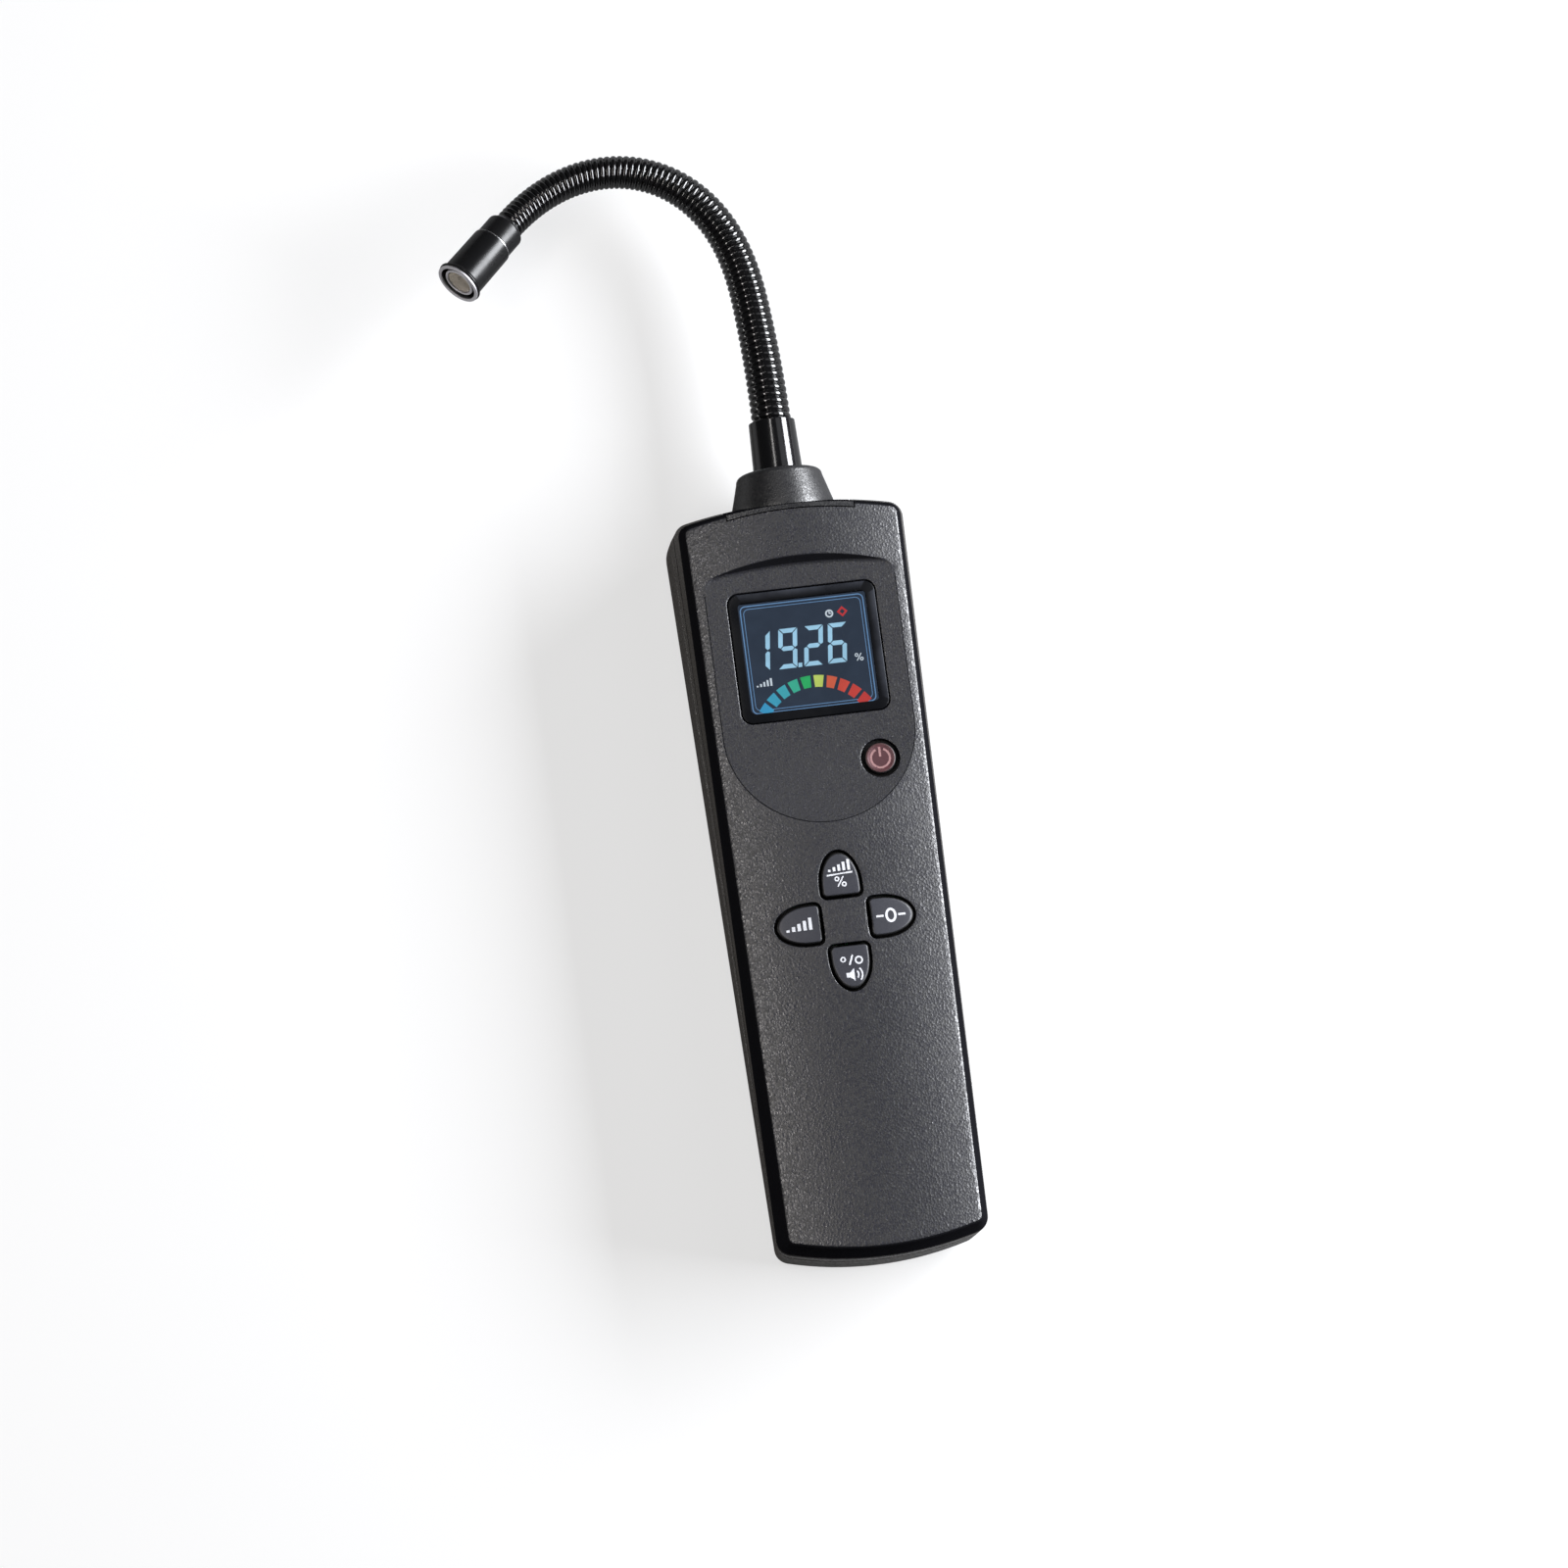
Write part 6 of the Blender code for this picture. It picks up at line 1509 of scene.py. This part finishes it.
def build_keys():
    for name, turn in KEYS.items():
        build_button(name + "_cap", name, lambda grow, t=turn: key_outline(t, grow), KEY_PLAY, key_top,
                     "key_rubber key_skirt", name)
    # Signs in millimetres from each key's middle
    prints = {
        "key_top": [bar(-3.3, -0.15, 3.3, 0.15, 0.42)] + percent(0.0, -2.0, 1.35)
        + rising_bars(-2.5, 0.75, 1.25, 0.55, 0.7),
        "key_left": rising_bars(-2.9, -1.35, 1.45, 0.62, 0.85),
        "key_right": [ring_shape(-0.3, 0.0, 1.15, 0.62, 28, 1.35), bar(1.6, 0.0, 3.5, 0.0, 0.52),
                      bar(-4.1, 0.0, -2.2, 0.0, 0.52)],
        "key_bottom": speaker(0.45, -2.1, 1.3) + [
            ring_shape(-2.0, 2.0, 0.55, 0.34, 18), bar(-0.5, 0.5, 0.5, 3.0, 0.45),
            ring_shape(2.0, 1.5, 0.85, 0.42, 22)],
    }
    for name, shapes in prints.items():
        centre = key_centre(KEYS[name])
        decal(name + "_print", moved(shapes, centre.x, centre.y), key_top, "white_print", name)


def build_power_button():
    name = "power_button"
    build_button("power_cap", name, lambda grow: power_outline(POWER_HOLE_RADIUS + grow),
                 POWER_HOLE_RADIUS - POWER_RADIUS, power_top, "power_rubber key_skirt", name)
    centre_disc = [(power_outline(POWER_RADIUS - 0.7 * MM, 40), [])]
    decal("power_field", centre_disc, power_top, "power_centre", name, 0.02 * MM)
    symbol = [(stroke(arc(0.0, -0.1, 2.45, 114, 426, 40), 0.55), []), bar(0.0, 0.3, 0.0, 2.9, 0.6)]
    decal("power_sign", moved(symbol, POWER_X, POWER_Y), power_top, "red_print", name, 0.05 * MM)


# Display

# Each segment's ends, in halves of a numeral's height and whole widths
SEGMENTS = {
    "a": ((0, 2), (1, 2)), "b": ((1, 1), (1, 2)), "c": ((1, 0), (1, 1)), "d": ((0, 0), (1, 0)),
    "e": ((0, 0), (0, 1)), "f": ((0, 1), (0, 2)), "g": ((0, 1), (1, 1)),
}
NUMERALS = {"1": "bc", "9": "abcdfg", "2": "abged", "6": "acdefg"}
SCREEN_Z = 31.3 * MM
SCREEN_LAYER = 0.03 * MM
SCREEN_DEPTH = 0.08 * MM
LIT_DEPTH = 0.02 * MM
# From here on in millimetres, and in degrees
FRAME_WIDTH = 31.9
FRAME_HEIGHT = 28.1
FRAME_CORNER = 1.3
FRAME_Y = 57.2
DIGIT_PLACES = (("1", -15.1), ("9", -8.0), ("2", -1.3), ("6", 4.9))
DIGIT_Y = 54.0
DIGIT_HEIGHT = 10.4
DIGIT_WIDTH = 4.9
DIGIT_LINE = 1.15
DIGIT_GAP = 0.16
DIGIT_SLANT = 0.12
SIGN_X = 6.8
ARC_CENTRE = (0.2, 33.9)
ARC_INNER = 14.5
ARC_OUTER = 17.6
ARC_START = 146.0
ARC_STEP = 11.47
ARC_LENGTH = 8.8
ARC_TAPER = 0.6


def segment(name):
    """One lit bar of a numeral, with mitred ends, from the middle of the numeral's lower left end."""
    (x0, y0), (x1, y1) = SEGMENTS[name]
    half = DIGIT_LINE / 2
    gap = DIGIT_GAP
    width = DIGIT_WIDTH - DIGIT_LINE
    height = (DIGIT_HEIGHT - DIGIT_LINE) / 2
    ax, ay, bx, by = x0 * width, y0 * height, x1 * width, y1 * height
    if y0 == y1 == 1:
        return [(ax + gap, ay), (ax + half + gap, ay + half), (bx - half - gap, ay + half), (bx - gap, ay),
                (bx - half - gap, ay - half), (ax + half + gap, ay - half)]
    if y0 == y1:
        out = half if y0 == 2 else -half
        return [(ax - half + gap, ay + out), (bx + half - gap, ay + out),
                (bx - half - gap, ay - out), (ax + half + gap, ay - out)]
    out = half if x0 == 1 else -half
    inner = [(ax - out, by - half - gap), (ax - out, ay + half + gap)]
    if y1 == 2:
        return [(ax + out, ay + half * 0.6 + gap), (ax + out, by + half - gap)] + inner + [(ax, ay + gap)]
    return [(ax + out, ay - half + gap), (ax + out, by - half * 0.6 - gap), (ax, by - gap)] + inner


def on_screen(name, shapes, finish, layer=2):
    """Lit shapes, drawn in millimetres, on one of the screen's layers."""
    height = SCREEN_Z + layer * SCREEN_LAYER
    decal(name, moved(shapes, 0.0, 0.0), lambda x, y: height, finish, "housing", 0.0, LIT_DEPTH)


def build_window():
    """Clear pane with a glossy black border, its upper edge rounded."""
    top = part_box("display_lens")[1].z
    bottom = top - LENS_THICKNESS
    middle = (0.0, DISPLAY_Y)
    soft = 0.25 * MM
    width, height, corner = LENS_WIDTH - 2 * GAP, LENS_HEIGHT - 2 * GAP, LENS_CORNER - GAP
    outline = rounded_rectangle(width, height, corner, middle, 12)
    inset = rounded_rectangle(width - 2 * soft, height - 2 * soft, corner - soft, middle, 12)
    clear = rounded_rectangle(LENS_WIDTH - 5.4 * MM, LENS_HEIGHT - 5.2 * MM, 1.3 * MM, middle, 12)
    window = Skin()
    rows = []
    rounding = [(top - soft * down, inwards) for inwards, down in reversed(quarter_round(3))]
    for z, share in [(bottom, 0.0)] + rounding:
        rows.append(window.ring([(*between(a, b, share), z) for a, b in zip(outline, inset)]))
    upper = window.ring([(x, y, top) for x, y in clear])
    lower = window.ring([(x, y, bottom) for x, y in clear])
    for a, b in zip([lower] + rows, rows + [upper]):
        window.bridge(a, b, 1)
    window.add([tuple(upper), tuple(reversed(lower))])
    piece("window", window.mesh(), "lens_clear lens_border", replaces=["display_lens"])


def build_display():
    back = rounded_rectangle(33.3 * MM, 29.0 * MM, 0.4 * MM, (0.0, DISPLAY_Y), 4)
    decal("screen", [(back, [])], lambda x, y: SCREEN_Z, "screen_back", "housing", 0.0, SCREEN_DEPTH)
    frames = []
    for shrink, line in ((0.0, 0.28), (1.55, 0.17)):
        outer, inner = [
            rounded_rectangle(FRAME_WIDTH - shrink + grow, FRAME_HEIGHT - shrink + grow,
                              FRAME_CORNER + grow / 2, (0.0, FRAME_Y), 6) for grow in (line, -line)]
        frames.append((outer, [inner]))
    on_screen("screen_frame", frames, "screen_line", 1)
    digits = []
    for numeral, x in DIGIT_PLACES:
        for name in NUMERALS[numeral]:
            digits.append(([(x + DIGIT_LINE / 2 + px + DIGIT_SLANT * py, DIGIT_Y + DIGIT_LINE / 2 + py)
                            for px, py in segment(name)], []))
    digits.append(([(-2.9, 54.0), (-1.9, 54.0), (-1.8, 55.1), (-2.8, 55.1)], []))
    on_screen("screen_digits", digits, "screen_digit")
    clock = [ring_shape(SIGN_X, 67.0, 0.85, 0.4, 24), bar(SIGN_X, 66.9, SIGN_X, 67.6, 0.3),
             bar(SIGN_X, 67.0, SIGN_X + 0.5, 67.0, 0.3)]
    signs = percent(13.0, 54.9, 1.0) + clock + rising_bars(-14.0, 50.0, 0.9, 0.4, 0.5)
    on_screen("screen_signs", signs, "screen_white")
    outer, inner = stroke([(10.2, 68.25), (11.25, 67.2), (10.2, 66.15), (9.15, 67.2)], 0.5, True)
    on_screen("screen_alarm", [(outer, [inner])], "screen_red")
    for number in range(len(ARC_COLOURS)):
        start = ARC_START - ARC_STEP * number
        end = start - ARC_LENGTH
        field = arc(*ARC_CENTRE, ARC_OUTER, start, end, 4)
        field += arc(*ARC_CENTRE, ARC_INNER, end + ARC_TAPER, start - ARC_TAPER, 4)
        on_screen("screen_arc_" + str(number), [(field, [])], "arc_" + str(number))


# Stage, light and camera

def softbox(name, place, width, length, radiance, tint, turn_degrees):
    """Rectangular lamp facing the object's middle, its long side turned from the housing's length."""
    light = bpy.data.lights.new(name, "AREA")
    light.shape = "RECTANGLE"
    light.size = width
    light.size_y = length
    light.energy = radiance * 4 * width * length
    light.color = tint
    obj = bpy.data.objects.new(name, light)
    bpy.context.scene.collection.objects.link(obj)
    back = (Vector(place) - Vector(LAMP_AIM)).normalized()
    along = Vector((math.sin(math.radians(turn_degrees)), math.cos(math.radians(turn_degrees)), 0.0))
    side = along.cross(back).normalized()
    up = back.cross(side)
    turn = Matrix((side, up, back)).transposed().to_4x4()
    obj.matrix_world = Matrix.Translation(place) @ turn
    obj.visible_camera = False


def build_stage():
    """Floor and world: dim for the object, pale for the camera."""
    size = FLOOR_HALF_SIZE
    corners = [(-size, -size, 0), (size, -size, 0), (size, size, 0), (-size, size, 0)]
    floor_mesh = mesh_of(corners, [(0, 1, 2, 3)])
    floor = bpy.data.objects.new("floor", floor_mesh)
    floor.location.z = -FLOOR_DROP
    bpy.context.scene.collection.objects.link(floor)
    material = bpy.data.materials.new("pale_floor")
    nodes = Nodes(material)
    nodes.tree.nodes.clear()
    seen = nodes.add("ShaderNodeLightPath").outputs["Is Camera Ray"]
    tone = nodes.add("ShaderNodeMapRange", {"Value": seen}, {"To Min": FLOOR_BOUNCE, "To Max": FLOOR_SEEN})
    share = nodes.add("ShaderNodeMath", {0: seen}, {1: FLOOR_GLOW}, operation="MULTIPLY")
    diffuse = nodes.add("ShaderNodeBsdfDiffuse", {"Color": tone.outputs["Result"]})
    glow = nodes.add("ShaderNodeEmission", None, {"Strength": 1.0})
    mix = nodes.add("ShaderNodeMixShader",
                    {0: share.outputs[0], 1: diffuse.outputs[0], 2: glow.outputs[0]})
    nodes.add("ShaderNodeOutputMaterial", {"Surface": mix.outputs[0]})
    floor_mesh.materials.append(material)

    world = bpy.data.worlds.new("studio")
    bpy.context.scene.world = world
    nodes = Nodes(world)
    nodes.tree.nodes.clear()
    seen = nodes.add("ShaderNodeLightPath").outputs["Is Camera Ray"]
    dim = nodes.add("ShaderNodeBackground", None, {"Color": (*WORLD_COLOUR, 1.0), "Strength": WORLD_STRENGTH})
    pale = nodes.add("ShaderNodeBackground")
    mix = nodes.add("ShaderNodeMixShader", {0: seen, 1: dim.outputs[0], 2: pale.outputs[0]})
    nodes.add("ShaderNodeOutputWorld", {"Surface": mix.outputs[0]})

    for lamp in LAMPS:
        softbox(*lamp)


def build_camera():
    data = bpy.data.cameras.new("camera")
    data.lens = CAMERA_LENS
    data.sensor_width = CAMERA_SENSOR
    data.clip_start, data.clip_end = 0.05, 30.0
    camera = bpy.data.objects.new("camera", data)
    bpy.context.scene.collection.objects.link(camera)
    turn = Matrix(CAMERA_AXES).transposed().to_4x4()
    camera.matrix_world = Matrix.Translation(CAMERA_PLACE) @ turn
    bpy.context.scene.camera = camera
    bpy.context.scene.view_settings.view_transform = "Standard"


build_camera()
build_stage()
build_front_cover()
build_rear_cover()
build_battery_door()
build_neck_mount()
build_base_ferrule()
build_gooseneck()
build_head()
build_keys()
build_power_button()
build_window()
build_display()
